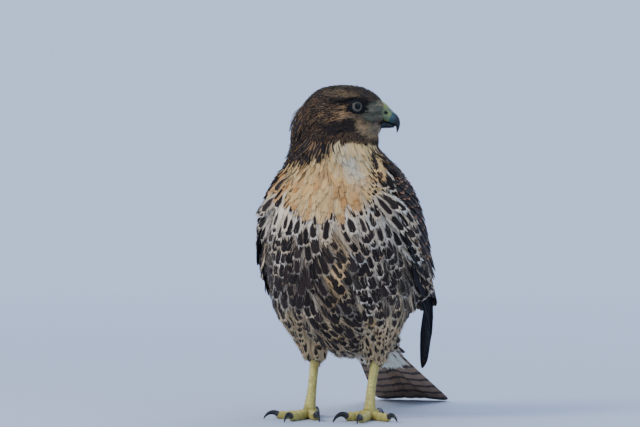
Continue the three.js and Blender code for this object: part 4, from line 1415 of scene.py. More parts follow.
def wing_normal(s: Array, t: Array) -> Array:
    """The wing's outward direction."""
    step = 0.01
    down = wing_at(np.minimum(s + step, 1), t) - wing_at(np.maximum(s - step, 0), t)
    over = wing_at(s, np.minimum(t + step, 0.99)) - wing_at(s, np.maximum(t - step, 0.01))
    out = unit(np.cross(down, over))
    return out * np.where((out @ WING_OUT) < 0, -1, 1)[:, None]


def wing_near(places: Array) -> tuple[Array, Array]:
    """How surely each place is on the outer face of a folded arm, and how close to its lower edge."""
    s, t = np.meshgrid(np.linspace(0, 0.54, 46), np.linspace(0.0, 1.0, 24), indexing="ij")
    s, t = s.ravel(), t.ravel()
    grid, out = wing_at(s, t), wing_normal(s, t)
    tree = KDTree(len(grid))
    for k, place in enumerate(grid):
        tree.insert(place, k)
    tree.balance()
    found = np.array([tree.find((abs(p[0]), p[1], p[2]))[1] for p in places])
    off = np.c_[np.abs(places[:, 0]), places[:, 1:]] - grid[found]
    rise = np.einsum("ij,ij->i", off, out[found])
    far = np.linalg.norm(off - out[found] * rise[:, None], axis=1)
    share = smooth(-9, -5, rise) * smooth(6.5, 3.5, rise) * smooth(9, 5, far)
    share = share * smooth(0.05, 0.1, t[found]) * smooth(0.99, 0.95, t[found])
    end = smooth(0.42, 0.45, s[found]) * smooth(-15, -11, rise) * smooth(15, 10, far)
    share = np.maximum(share, end)
    edge = grid[t == 0]
    gap = np.linalg.norm(np.c_[np.abs(places[:, 0]), places[:, 1:]][:, None] - edge[None], axis=2).min(1)
    return share, smooth(17, 9, gap) * smooth(252, 236, places[:, 2])


def tube(rows: Array, steps: int, sides: int) -> Array:
    """Level rings through rows of x, y, z, half width and half depth."""
    x, y, z, width, deep = between(rows, np.linspace(0, 1, steps)).T[..., None]
    angle = turns(sides)
    return np.stack(np.broadcast_arrays(x + width * np.cos(angle), y + deep * np.sin(angle), z), -1)


def upright_rings(x: Array, top: Array, bottom: Array, width: Array, sides: int, power: float) -> Array:
    """Rings round the head's length, squarer at a smaller power.

    Args:
        x: Their places along the head.
        top: Their highest points.
        bottom: Their lowest points.
        width: Their half widths.
        sides: Points of each ring.
        power: From 1 for ovals towards 0 for boxes.

    Returns:
        Points as rings by points by 3, in the bird's frame.
    """
    c, s = (np.sign(v) * np.abs(v) ** power for v in (np.cos(turns(sides)), np.sin(turns(sides))))
    x, top, bottom, width = (values[:, None] for values in (x, top, bottom, width))
    z = (top + bottom) / 2 + (top - bottom) / 2 * s
    return from_head(np.stack(np.broadcast_arrays(x, width * c, z), -1))


@dataclass(frozen=True)
class Row:
    """A row of wing feathers, from the lowest to the highest.

    Roots and tips are shares along and across the wing. A feather rises by lift from its sunk root to its
    tip, and lies stack over the one before, at the tip or all along if level. Roll tucks its upper edge down.
    Bake is the size of its patch on the map for baking.
    """

    count: int
    root: tuple[float, float]
    across: tuple[float, float]
    tip: tuple[float, float]
    tip_across: tuple[float, float]
    wide: float
    lift: float
    look: str
    stack: float
    roll: float
    sink: float = -1.5
    cut: Cut = Cut.COVERT
    level: bool = False
    bake: float = 0.016


@dataclass(frozen=True)
class Look:
    """The colours and mark of a row of wing or tail feathers, and how many of them are spotted pale."""

    tone: Colour
    ink: Colour
    width: float
    start: float = -0.3
    stop: float = 0.02
    bars: float = 0.0
    pale: float = 0.0


@dataclass(frozen=True)
class Wing:
    """One folded wing, feather by feather in its tiers."""

    side: Side
    stations: int = 9
    LOOKS = {
        "primary": Look((40, 37, 39), (12, 12, 16), 1.5, -0.4, 0.0, 0.0),
        "secondary": Look((112, 92, 74), (33, 28, 28), 1.26, -0.4, 0.01, 0.4),
        "primary_covert": Look((74, 62, 54), (24, 21, 23), 1.34, -0.4, 0.01),
        "greater": Look((146, 118, 90), (36, 30, 28), 1.22, -0.4, 0.015, 0.25),
        "median": Look((128, 96, 70), (36, 29, 27), 1.16, -0.3, 0.02),
        "lesser": Look((112, 80, 57), (35, 28, 27), 1.12, -0.3, 0.02),
        "shoulder": Look((136, 98, 68), (34, 28, 27), 0.98, -0.3, 0.02),
        "scapular": Look((160, 134, 106), (38, 31, 29), 1.06, -0.1, 0.02, 0.0, 0.3),
        "alula": Look((70, 58, 50), (24, 21, 23), 1.3, -0.4, 0.01),
    }
    rows: tuple[Row, ...] = (
        Row(9, (0.40, 0.46), (0.02, 0.29), (0.74, 1.0), (0.17, 0.62), 8.6, 1, "primary", 0.95, 0.02,
            sink=-8.5, cut=Cut.FLIGHT, level=True, bake=0.03),
        Row(12, (0.34, 0.38), (0.2, 0.85), (0.645, 0.8), (0.32, 0.9), 7.6, 5, "secondary", 0.35, 0.16,
            cut=Cut.FLIGHT, bake=0.03),
        Row(4, (0.33, 0.37), (-0.02, 0.12), (0.5, 0.56), (0.0, 0.17), 6.4, 4.2, "primary_covert", 0.4, 0.16,
            cut=Cut.FLIGHT, bake=0.03),
        Row(3, (0.2, 0.25), (-0.03, 0.03), (0.36, 0.45), (-0.02, 0.05), 5.6, 5.5, "alula", 0.6, 0.1,
            sink=-1, cut=Cut.FLIGHT, bake=0.03),
        Row(13, (0.25, 0.27), (0.06, 0.8), (0.465, 0.5), (0.08, 0.84), 6.6, 7.4, "greater", 0.33, 0.15),
        Row(12, (0.2, 0.21), (0.04, 0.78), (0.375, 0.39), (0.06, 0.8), 6.6, 7.4, "median", 0.15, 0.14),
        Row(12, (0.165, 0.175), (0.05, 0.78), (0.32, 0.33), (0.05, 0.78), 6.6, 7.2, "median", 0.12, 0.14),
        Row(12, (0.14, 0.15), (0.06, 0.77), (0.272, 0.28), (0.05, 0.76), 6.4, 7.1, "lesser", 0.1, 0.13),
        Row(12, (0.115, 0.125), (0.07, 0.76), (0.235, 0.242), (0.05, 0.75), 6.4, 7.0, "lesser", 0.1, 0.13),
        Row(11, (0.09, 0.1), (0.09, 0.76), (0.2, 0.206), (0.06, 0.75), 6.4, 6.8, "lesser", 0.12, 0.13),
        Row(11, (0.065, 0.075), (0.11, 0.75), (0.165, 0.172), (0.08, 0.74), 6.4, 6.6, "lesser", 0.14, 0.13),
        Row(10, (0.045, 0.055), (0.14, 0.74), (0.133, 0.138), (0.1, 0.74), 6.6, 6.4, "shoulder", 0.16, 0.12),
        Row(9, (0.03, 0.035), (0.18, 0.72), (0.104, 0.108), (0.14, 0.74), 6.6, 6.2, "shoulder", 0.2, 0.12),
        Row(8, (0.012, 0.016), (0.22, 0.7), (0.076, 0.08), (0.18, 0.74), 6.8, 6.0, "shoulder", 0.24, 0.1),
        Row(7, (0.0, 0.004), (0.28, 0.66), (0.05, 0.054), (0.24, 0.72), 7.0, 5.6, "shoulder", 0.3, 0.1),
        Row(4, (0.33, 0.35), (0.86, 0.99), (0.53, 0.585), (0.84, 1.0), 8.6, 12.5, "scapular", 0.6, 0.0),
        Row(4, (0.26, 0.28), (0.86, 0.99), (0.45, 0.48), (0.84, 1.01), 9.0, 12.0, "scapular", 0.6, 0.0),
        Row(4, (0.19, 0.2), (0.86, 0.99), (0.37, 0.4), (0.83, 1.01), 9.2, 12.0, "scapular", 0.6, 0.0),
        Row(4, (0.12, 0.14), (0.85, 0.99), (0.3, 0.325), (0.82, 1.01), 9.0, 11.5, "scapular", 0.6, 0.0),
        Row(4, (0.06, 0.08), (0.84, 0.98), (0.225, 0.25), (0.81, 1.01), 8.8, 11.0, "scapular", 0.6, 0.0),
        Row(4, (0.02, 0.03), (0.8, 0.96), (0.155, 0.175), (0.78, 1.0), 8.6, 10.0, "shoulder", 0.6, 0.0),
        Row(4, (0.0, 0.004), (0.72, 0.92), (0.095, 0.105), (0.72, 0.98), 8.4, 8.5, "shoulder", 0.6, 0.0),
    )

    def build(self) -> None:
        """Builds the wing."""
        rng = np.random.default_rng({Side.LEFT: 21, Side.RIGHT: 22}[self.side])
        form = Form()
        for row in self.rows:
            self._lay(row, rng).grow(form, row.cut, rng, 3)
        finish = FeatherFinish(f"feathers_wing_{self.side.label}", bars=7, sheen=0.03)
        piece = form.build(f"wing_feathers_{self.side.label}", finish.make())
        settle(piece, "wing_feathers", f"wing_{self.side.label}")

    def _lay(self, row: Row, rng: Generator) -> Laid:
        """One row of feathers as laid on the wing."""
        k = np.arange(row.count)
        s0, s1, t0, t1 = (start + (end - start) * (k / (row.count - 1))
                          for start, end in (row.root, row.tip, row.across, row.tip_across))
        s1 = s1 + rng.normal(0, 0.005, row.count)
        t1 = t1 + rng.uniform(-0.012, 0.012, row.count)
        u = np.linspace(0, 1, self.stations)
        s = (s0[:, None] + (s1 - s0)[:, None] * u).ravel()
        t = (t0[:, None] + (t1 - t0)[:, None] * u).ravel()
        line, normal = ((values * (self.side, 1, 1)).reshape(row.count, self.stations, 3)
                        for values in (wing_at(s, t), wing_normal(s, t)))
        stack = row.stack * k[:, None] * (np.ones(len(RISE)) if row.level else RISE)
        rise = row.sink + row.lift * RISE ** 0.75 + stack
        tone, ink, mark, bars = dress(self.LOOKS[row.look], row.count, rng)
        patch = np.c_[0.03 + 0.82 * (t0 + 0.05) / 1.15, 0.04 + 0.92 * s0 / 0.5]
        patch = patch + rng.uniform(-0.004, 0.004, patch.shape)
        wide = row.wide * rng.uniform(0.95, 1.06, row.count)
        camber, roll = np.full(row.count, 0.1), np.full(row.count, -self.side * row.roll)
        return Laid(line, normal, wide, tone, ink, mark, bars, patch, rise, camber, roll, row.bake)


def dress(look: Look, count: int, rng: Generator) -> tuple[Array, Array, Array, Array]:
    """Colours and marks for a row, each feather a little different."""
    def vary(share: float) -> Array:
        """Factors about 1, one for each feather."""
        return 1 + share * rng.standard_normal((count, 1))

    tone = np.clip(linear(*look.tone) * np.clip(vary(0.24), 0.45, 1.6), 0.004, 0.8)
    ink = np.clip(linear(*look.ink) * vary(0.16), 0.002, 0.4)
    spots = rng.random((count, 1)) < look.pale
    ink = np.where(spots, ink * 1.7, ink)
    mark = np.tile([look.width, look.start, look.stop], (count, 1))
    mark *= np.c_[vary(0.06), np.ones((count, 1)), rng.uniform(0.2, 2.6, (count, 1))]
    return tone, ink, mark, bare_bars(count, rng, look.bars)


# Tail

TAIL_ROOT = (96.0, 88.0)
TAIL_TIP_Y = 286.0


def tail_at(f: Array, x: Array) -> tuple[Array, Array]:
    """Places on the tail and their normals: f runs from the root to the tips, x across in half widths."""
    def line(u: Array) -> Array:
        y = TAIL_ROOT[0] + (TAIL_TIP_Y - TAIL_ROOT[0]) * u
        return np.c_[0 * u, y, TAIL_ROOT[1] * np.maximum(1 - u, 0) ** 1.06 + 0.2]
    slope = line(f + 0.01) - line(f - 0.01)
    normal = unit(np.c_[0 * f, -slope[:, 2], slope[:, 1]])
    places = line(f)
    places[:, 0] = x * (21 + 18 * f)
    return places, normal


@dataclass(frozen=True)
class Tail:
    """Twelve tail feathers with dark bands, and the short feathers over and under their roots."""

    pairs: int = 6
    stack: float = 0.85
    half: float = 12.6
    stations: int = 9
    covert_half: float = 7.4
    over: tuple[tuple[float, float], ...] = ((0.06, 0.42), (0.0, 0.34), (-0.06, 0.27), (-0.12, 0.2))
    under: tuple[tuple[float, float], ...] = ((0.05, 0.46), (0.0, 0.38), (-0.06, 0.3), (-0.1, 0.22))
    LOOKS = {
        "feather": Look((150, 122, 96), (44, 35, 32), 0.0, 0.5, 0.02, 0.85),
        "over": Look((172, 148, 120), (70, 55, 47), 0.98, 0.0, 0.03, 0.2),
        "under": Look((222, 208, 186), (92, 72, 58), 0.22, 0.55, 0.06),
    }

    def build(self) -> None:
        """Builds the tail."""
        rng = np.random.default_rng(31)
        form = Form()
        self._root(form)
        self._feathers(rng).grow(form, Cut.TAIL, rng, 3)
        for k, (root, tip) in enumerate(self.over):
            self._coverts(root, tip, 9 + 0.8 * k, 1, "over", rng).grow(form, Cut.COVERT, rng, 2)
        for k, (root, tip) in enumerate(self.under):
            self._coverts(root, tip, 4.5 + 0.8 * k, -1, "under", rng).grow(form, Cut.BODY, rng, 2)
        finish = FeatherFinish("feathers_tail", bars=9.5, sheen=0.12)
        settle(form.build("tail_feathers", finish.make()), "tail_feathers", "tail")

    @staticmethod
    def _root(form: Form) -> None:
        """The fleshy root under the short feathers."""
        rings, angle = [], turns(24)
        for f in np.linspace(-0.02, 0.24, 12):
            places, normal = tail_at(np.full(24, f), np.cos(angle) * 0.8)
            rings.append(places + normal * (4.2 * (1 - f) * np.sin(angle))[:, None])
        none, dark = np.zeros((12, 24, 3)), np.tile(linear(96, 78, 64), (12, 24, 1))
        grid = np.stack(np.meshgrid(np.linspace(0.9, 0.98, 24), np.linspace(0.02, 0.3, 12)), -1)
        middle = np.tile([0.5, 0.4], (12, 24, 1))
        form.loft(np.array(rings), Vane=middle, Tone=dark, Ink=dark, Mark=none, Bars=none, OFBake=grid)

    def _feathers(self, rng: Generator) -> Laid:
        """The long feathers in pairs, from the outer one up to the middle one."""
        f0, x0, f1, x1, high, roll = [], [], [], [], [], []
        for pair in range(self.pairs):
            inwards = pair / (self.pairs - 1)
            middle = pair == self.pairs - 1
            for side in (-1, 1):
                f0.append(0.05)
                x0.append(side * (0.1 if middle else 0.45 - 0.1 * inwards))
                f1.append(1 - 0.006 * (1 - inwards) + rng.uniform(-0.003, 0.002))
                x1.append(side * (0.1 if middle else 0.84 - 0.45 * inwards))
                high.append(self.stack * (pair + (1 if middle and side > 0 else 0)))
                roll.append(side * 0.05)
        rise = np.array(high)[:, None] * (1 - 0.62 * RISE ** 2) - 2 * (1 - RISE)
        lines = map(np.array, (f0, x0, f1, x1))
        return self._lay(*lines, rise, self.half, np.array(roll), 1, "feather", rng, 0.07)

    def _coverts(self, root: float, tip: float, lift: float, face: int, look: str,
                 rng: Generator, count: int = 6) -> Laid:
        """A row of short feathers over the tail's root, or under it where face is -1."""
        side = np.linspace(-1, 1, count)
        rise = -1 + (lift + 1.6 * (1 - side ** 2)[:, None]) * np.linspace(0.35, 1, len(RISE))
        tips = tip + rng.uniform(-0.012, 0.012, count) - 0.03 * side ** 2
        return self._lay(np.full(count, root), side * 0.5, tips, side * 0.72, rise, self.covert_half,
                         side * 0.12 * face, face, look, rng, 0.02)

    def _lay(self, f0: Array, x0: Array, f1: Array, x1: Array, rise: Array, wide: float, roll: Array,
             face: int, look: str, rng: Generator, size: float) -> Laid:
        """Feathers laid along the tail.

        Args:
            f0: Their roots along the tail.
            x0: Their roots across it.
            f1: Their tips along it.
            x1: Their tips across it.
            rise: Their heights.
            wide: Half width of the widest.
            roll: Their tilts.
            face: 1 where they face up, -1 where they face down.
            look: Their colours, by name.
            rng: Draws their differences.
            size: Size of each one's patch on the map for baking.

        Returns:
            The feathers.
        """
        count = len(f0)
        u = np.linspace(0, 1, self.stations)
        f = f0[:, None] + (f1 - f0)[:, None] * u
        x = x0[:, None] + (x1 - x0)[:, None] * u
        line, normal = (a.reshape(count, self.stations, 3) for a in tail_at(f.ravel(), x.ravel()))
        tone, ink, mark, bars = dress(self.LOOKS[look], count, rng)
        patch = np.c_[0.05 + 0.8 * (x1 + 1) / 2, 0.1 + 0.8 * np.clip(f1, 0, 1)]
        camber = np.full(count, 0.05 if look == "feather" else 0.12)
        wide = wide * rng.uniform(0.97, 1.04, count)
        return Laid(line, normal * face, wide, tone, ink, mark, bars, patch, rise, camber, roll, size)


# Head

SMOOTH = 180.0


@dataclass(frozen=True)
class Eye:
    """One eye in its lids, in the head's frame.

    Opening is how far the lids' edge lies from the gaze, in degrees. Folds hold the degrees beyond it and the
    distance from the eye's middle, from the edge outwards and back underneath.
    """

    side: Side
    radius: float = 9.2
    at: tuple[float, float, float] = (-0.9, 14.8, -0.6)
    look: tuple[float, float, float] = (0.4, 0.917, 0.0)
    opening: float = 38.5
    folds: tuple[tuple[float, float], ...] = (
        (0, 9.0), (-0.6, 9.5), (0.8, 10.05), (3.2, 10.25), (5.0, 9.95), (7.5, 10.3), (9.6, 10.1),
        (12.5, 10.35), (16.5, 10.1), (20, 9.3), (12, 8.6), (4, 8.6))

    @property
    def centre(self) -> Array:
        """The middle of the eyeball."""
        return np.array(self.at) * (1, self.side, 1)

    @property
    def gaze(self) -> Array:
        """The way that the eye looks."""
        return np.array(self.look) / math.hypot(*self.look[:2]) * (1, self.side, 1)

    @property
    def ahead(self) -> Array:
        """Forward across the eye."""
        return unit(np.cross(self.gaze, UP)) * self.side

    def build(self, finish: bpy.types.Material) -> None:
        """The eyeball with its clear bulge."""
        turn = np.radians(np.r_[np.linspace(1.5, 60, 34), np.linspace(66, 178, 14)])
        angle = turns(64)
        bulge = self.radius - 0.15 + 0.55 * smooth(40, 12, np.degrees(turn))
        way = np.cos(angle)[:, None] * self.ahead + np.sin(angle)[:, None] * UP
        rings = np.sin(turn)[:, None, None] * way + np.cos(turn)[:, None, None] * self.gaze
        rings = rings * bulge[:, None, None] + self.centre
        spokes = np.stack(np.broadcast_arrays(np.cos(angle) * 3, np.sin(angle) * 3, turn[:, None]), -1)
        form = Form()
        form.loft(from_head(rings), Run=turn, Spoke=spokes)
        settle(form.build(f"eyeball_{self.side.label}", finish, SMOOTH), "eye", f"eye_{self.side.label}")

    def lids(self, form: Form) -> None:
        """Adds the lids to a form: a rim with two folds that follows the eyeball."""
        angle = turns(72)
        opening = self.opening + 3.0 * np.cos(angle) ** 2 - 3.6 * np.maximum(np.sin(angle), 0) ** 2
        opening -= 1.2 * np.maximum(-np.sin(angle), 0) ** 2
        rings = []
        for k, a in enumerate(angle):
            way = math.cos(a) * self.ahead + math.sin(a) * UP
            ahead = 1 + 0.35 * max(math.cos(a), 0)
            bends = [(math.radians(opening[k] + more * ahead), radius) for more, radius in self.folds]
            rings.append([self.centre + (math.sin(b) * way + math.cos(b) * self.gaze) * radius
                          for b, radius in bends])
        rings = np.array(rings)
        count, sides = rings.shape[:2]
        r, c = np.meshgrid(np.arange(count), np.arange(sides), indexing="ij")
        n, m = (c + 1) % sides, (r + 1) % count
        quads = np.stack([r * sides + c, r * sides + n, m * sides + n, m * sides + c], -1).reshape(-1, 4)
        places = from_head(rings.reshape(-1, 3))
        if volume(places - places.mean(0), quads, np.zeros((0, 3), int)) < 0:
            quads = quads[:, ::-1]
        form.add(places, quads, np.zeros((0, 3), int), Run=np.zeros((len(places), 1)))


@dataclass(frozen=True)
class Bill:
    """The hooked bill: cere with nostrils, upper and lower halves, and the corners of the mouth.

    Rows of root and hook hold x and z on the ridge, x and z on the cutting edge, and the half width.
    Rows of the lower half hold x, top, bottom and half width, and those of the mouth x and z.
    """

    root: tuple = (
        (26, 5, 20, -15.2, 10.2), (30.6, 1.4, 24.5, -15.9, 9.4), (34.2, -2.6, 28.6, -16.4, 8.6),
        (37.2, -5.8, 32.2, -17.2, 7.7))
    hook: tuple = (
        (37.2, -5.8, 32.2, -17.2, 7.4), (41.2, -9.3, 35.6, -18.9, 6.5), (43.6, -13.6, 38.2, -20.6, 5.3),
        (44.4, -17.8, 39.8, -21.8, 4), (43.9, -21.6, 40.3, -23.6, 2.8), (42.8, -25, 40.5, -26, 1.6),
        (41.2, -28.2, 40.7, -28.3, 0.5))
    low: tuple = (
        (16, -15, -22.5, 8.4), (23, -15, -23.6, 8), (29, -15.4, -23.4, 7), (34, -17, -23.2, 5.6),
        (38.2, -19.4, -22.6, 3))
    mouth: tuple = ((9.0, -11.8), (12, -13.4), (16, -14.8), (20, -15.4), (25, -15.9))
    nostril: tuple = (30.2, 8.2, -7.2)
    sides: int = 44
    wax: HideFinish = HideFinish("cere_wax", (132, 138, 70), (68, 96, 88), 700, 0.00006, 0.45, 110, 0.12)
    horn: HornFinish = HornFinish("bill_horn", (50, 78, 84), (8, 11, 17), 0.36)
    rim: HideFinish = HideFinish("mouth_rim", (96, 102, 74), (44, 52, 50), 700, 0.0001, 0.5, 200, 0.2)

    def build(self, skin: Skin) -> None:
        """Builds the bill on the face of a skin."""
        self._cere()
        horn = self.horn.make()
        self._upper(horn)
        self._lower(horn)
        self._corners(skin)

    def _rings(self, rows: tuple, steps: int, start: float) -> Array:
        """Rings of the bill, widest low down and narrow at the ridge."""
        top_x, top_z, edge_x, edge_z, width = between(rows, np.linspace(start, 1, steps)).T
        top, edge = np.c_[top_x, 0 * top_x, top_z], np.c_[edge_x, 0 * edge_x, edge_z]
        up = (1 - np.cos(turns(self.sides))) / 2
        rings = edge[:, None] + (top - edge)[:, None] * up[None, :, None]
        rings[..., 1] = np.sin(turns(self.sides)) * (1 - 0.34 * up) * width[:, None]
        return rings

    def _cere(self, steps: int = 46) -> None:
        """The waxy skin over the bill's root, with its nostrils sunk in and painted shade inside them."""
        rings = self._rings(self.root, steps, -0.1)
        hollow_shade = np.zeros(rings.shape[:2])
        swell = np.sin(np.pi * np.linspace(0, 1, steps)) ** 0.7 * 0.35
        rings[..., 1] *= (1 + swell * 0.06)[:, None]
        for side in (-1, 1):
            off = (rings - np.array(self.nostril) * (1, side, 1)) / (2.1, 3.6, 1.8)
            off[..., 0] += off[..., 2] * 0.35
            far = np.sqrt(off[..., 0] ** 2 + off[..., 2] ** 2 + (off[..., 1] * 0.5) ** 2)
            rim = np.exp(-((far - 1.4) / 0.28) ** 2)
            rings[..., 1] -= side * (smooth(1.2, 0.6, far) * 2.3 - rim * 0.3)
            # Painted shade: the middle of each nostril is marked, through Run, to be painted near black.
            hollow_shade = np.maximum(hollow_shade, smooth(1.15, 0.75, far))
        form = Form()
        form.loft(from_head(rings), Run=hollow_shade[..., None])
        settle(form.build("cere_skin", self.wax.make(), SMOOTH), "cere", "cere")

    def _upper(self, horn: bpy.types.Material, steps: int = 44) -> None:
        """The upper half with its hook and its slightly waved cutting edge."""
        rings = self._rings(self.hook, steps, -0.04)
        share = np.linspace(0, 1, steps)
        low = np.exp(-((np.cos(turns(self.sides)) - 1) / 0.25) ** 2)
        rings[..., 2] -= (0.55 * np.sin(share * 2 * np.pi * 1.1) * (share < 0.6))[:, None] * low
        form = Form()
        form.loft(from_head(rings), Run=share)
        settle(form.build("bill_hook", horn, SMOOTH), "horn", "bill_upper")

    def _lower(self, horn: bpy.types.Material, steps: int = 26) -> None:
        """The lower half, nested under the hook."""
        share = np.linspace(0, 1, steps)
        x, top, bottom, width = between(self.low, share).T
        top = top - 0.5 * smooth(0.1, 0.4, share)
        rings = upright_rings(x, top, bottom, width * 0.96, self.sides, 0.85)
        form = Form()
        form.loft(rings, Run=np.linspace(0, 0.6, steps))
        settle(form.build("bill_under", horn, SMOOTH), "horn", "bill_lower")

    def _corners(self, skin: Skin, steps: int = 26) -> None:
        """The fleshy corners of the mouth, laid on the face."""
        form = Form()
        share = np.linspace(0, 1, steps)
        x, z = between(self.mouth, share).T
        angle = turns(14)
        thick = 0.35 + 0.75 * np.sin(np.pi * share ** 0.7)
        up = np.sin(angle) * thick[:, None] * 0.8 * (1 + 0.5 * np.cos(angle * 2))
        for side in (-1, 1):
            start = from_head(np.c_[x, side * 30 + 0 * x, z])
            way = Vector(head_way((0.0, -side, 0.0)))
            hits = [skin.tree.ray_cast(Vector(p), way)[0] for p in start]
            middle = to_head(np.array([p if hit is None else hit for hit, p in zip(hits, start)]))
            middle[:, 1] = np.where(x > 19, side * np.maximum(np.abs(middle[:, 1]), 9.0), middle[:, 1])
            middle[:, 1] += side * 0.2
            across = np.cos(angle) * 0.9 * thick[:, None] * side
            rings = middle[:, None] + np.stack([np.zeros_like(up), across, up], -1)
            form.loft(from_head(rings), Run=0 * share)
        settle(form.build("mouth_corners", self.rim.make(), SMOOTH), "cere")


# Feet

@dataclass(frozen=True)
class Toe:
    """One toe: its heading from straight ahead in degrees, its length, its radius and its claw's length."""

    name: str
    heading: float
    length: float
    radius: float
    claw: float

    @property
    def way(self) -> Array:
        """The way that it points, level with the floor."""
        return np.array([math.sin(math.radians(self.heading)), -math.cos(math.radians(self.heading)), 0])


@dataclass(frozen=True)
class Foot:
    """One foot: its shank, toes and claws, with their plates.

    Rows of the shank hold x, y, z, half width and half depth. Knuckles hold their share of the toe's length,
    and the height and thickness of its pads as shares of its radius.
    """

    side: Side
    sole: tuple[float, float] = (33.0, 6.0)
    shank: tuple = (
        (33.8, 29, 72, 5.4, 6.4), (33.5, 24.5, 57, 4.8, 5.7), (32.6, 14, 32, 4.7, 5.2),
        (33, 8.5, 15, 6.0, 6.0), (33, 6, 8, 7.4, 7.2))
    toes: tuple[Toe, ...] = (
        Toe("inner", -30.0, 32.0, 5.0, 24.0), Toe("middle", 6.0, 47.0, 4.8, 21.0),
        Toe("outer", 52.0, 36.0, 4.4, 18.0), Toe("hind", 176.0, 22.0, 5.0, 26.0))
    knuckles: tuple = (
        (0.02, 1.45, 1.15), (0.18, 1.1, 1.1), (0.3, 0.95, 1.16), (0.44, 0.86, 0.92), (0.56, 0.84, 1.1),
        (0.7, 0.82, 0.88), (0.82, 0.84, 1.08), (0.93, 0.9, 0.9), (1.0, 1.0, 0.72))
    shank_span: tuple[float, float] = (0.2, 0.93)
    shank_plates: int = 15
    toe_span: tuple[float, float] = (0.24, 0.98)
    plate_apart: float = 2.9
    plate_lift: tuple[float, float] = (0.05, 0.62)
    plate_deep: float = 0.35
    claw_z: float = 5.6
    claw_bend: float = 1.75
    claw_start: float = -0.55
    sides: int = 28

    def build(self, skin: bpy.types.Material, plates: bpy.types.Material, horn: bpy.types.Material) -> None:
        """Builds the foot as three pieces: leg with toes, plates, claws.

        Args:
            skin: Finish of the skin between the plates.
            plates: Finish of the plates.
            horn: Finish of the claws.
        """
        legs, scutes, claws = Form(), Form(), Form()
        front = np.array([0, -1.0, 0.25])
        self._limb(legs, self.shank, front, 70)
        stops = np.linspace(*self.shank_span, self.shank_plates + 1)
        self._plates(scutes, self.shank, front, stops, 0.25 / 70, 0.85)
        for toe in self.toes:
            rows = [(*(np.array(self.sole) + toe.way[:2] * toe.length * share), z * toe.radius,
                     thick * toe.radius * 0.92, thick * toe.radius * 0.98)
                    for share, z, thick in self.knuckles]
            self._limb(legs, rows, UP, 56)
            stops = np.linspace(*self.toe_span, int(toe.length / self.plate_apart) + 1)
            self._plates(scutes, rows, UP, stops, 0.25 / 56, 0.8)
            self._claw(claws, toe)
        name = self.side.label
        toes = [f"toe_{toe.name}_{name}" for toe in self.toes]
        settle(legs.build(f"foot_skin_{name}", skin, 60), "leg_skin", f"shank_{name}", *toes)
        settle(scutes.build(f"foot_plates_{name}", plates, 40), "leg_skin")
        nails = [f"claw_{toe.name}_{name}" for toe in self.toes]
        settle(claws.build(f"claws_{name}", horn, SMOOTH), "horn", *nails)

    @staticmethod
    def _frames(rows: tuple | list, at: Array, face: Array) -> tuple[Array, Array, Array, Array, Array]:
        """Centres, the two directions across, and the half sizes along a limb, ready for rings."""
        x, y, z, width, deep = between(rows, at).T
        way = unit(between(rows, at + 0.01)[:, :3] - between(rows, at - 0.01)[:, :3])
        up = unit(face - way * (way @ face)[:, None])
        return np.c_[x, y, z][:, None], np.cross(way, up)[:, None], up[:, None], width[:, None], deep[:, None]

    def _limb(self, form: Form, rows: tuple | list, face: Array, steps: int) -> None:
        """Adds a limb through rows of x, y, z, half width and half depth, flat where it meets the floor."""
        centre, across, up, width, deep = self._frames(rows, np.linspace(0, 1, steps), face)
        angle = turns(self.sides)
        rings = centre + across * (np.cos(angle) * width)[..., None] + up * (np.sin(angle) * deep)[..., None]
        rings[..., 2] = np.maximum(rings[..., 2], 0.0)
        form.loft(rings * (self.side, 1, 1), Run=np.zeros(steps))

    def _plates(self, form: Form, rows: tuple | list, face: Array, stops: Array, tuck: float,
                cover: float) -> None:
        """Adds a row of overlapping plates on one face of a limb.

        Args:
            form: Form that takes the plates.
            rows: The limb's sections: x, y, z, half width, half depth.
            face: The way that the plates face.
            stops: Where each one starts along the limb, and the last one's end.
            tuck: How far each one reaches in under the one before.
            cover: How far round they reach, in radians to a side.
        """
        turn = np.linspace(-cover, cover, 11)
        arch = np.sin(np.linspace(0, math.pi, 11)) ** 0.35
        outer = np.linspace(*self.plate_lift, 7)[:, None] * arch
        rounded = np.sin(np.linspace(0.12, math.pi, 7))[:, None] ** 0.25
        bend = math.pi / 2 + turn * (0.86 + 0.14 * rounded)
        for start, end in zip(stops, stops[1:]):
            run = np.linspace(start - tuck, end + 0.2 * (stops[1] - stops[0]), 7)
            centre, across, up, width, deep = self._frames(rows, np.clip(run, 0, 1), face)
            top, under = (centre + across * (np.cos(bend) * (width + height))[..., None]
                          + up * (np.sin(bend) * (deep + height))[..., None]
                          for height in (outer, np.full_like(outer, -self.plate_deep)))
            rings = np.concatenate([top, under[:, ::-1]], axis=1)
            rings[..., 2] = np.maximum(rings[..., 2], 0.0)
            form.loft(rings * (self.side, 1, 1), Run=np.zeros(7))

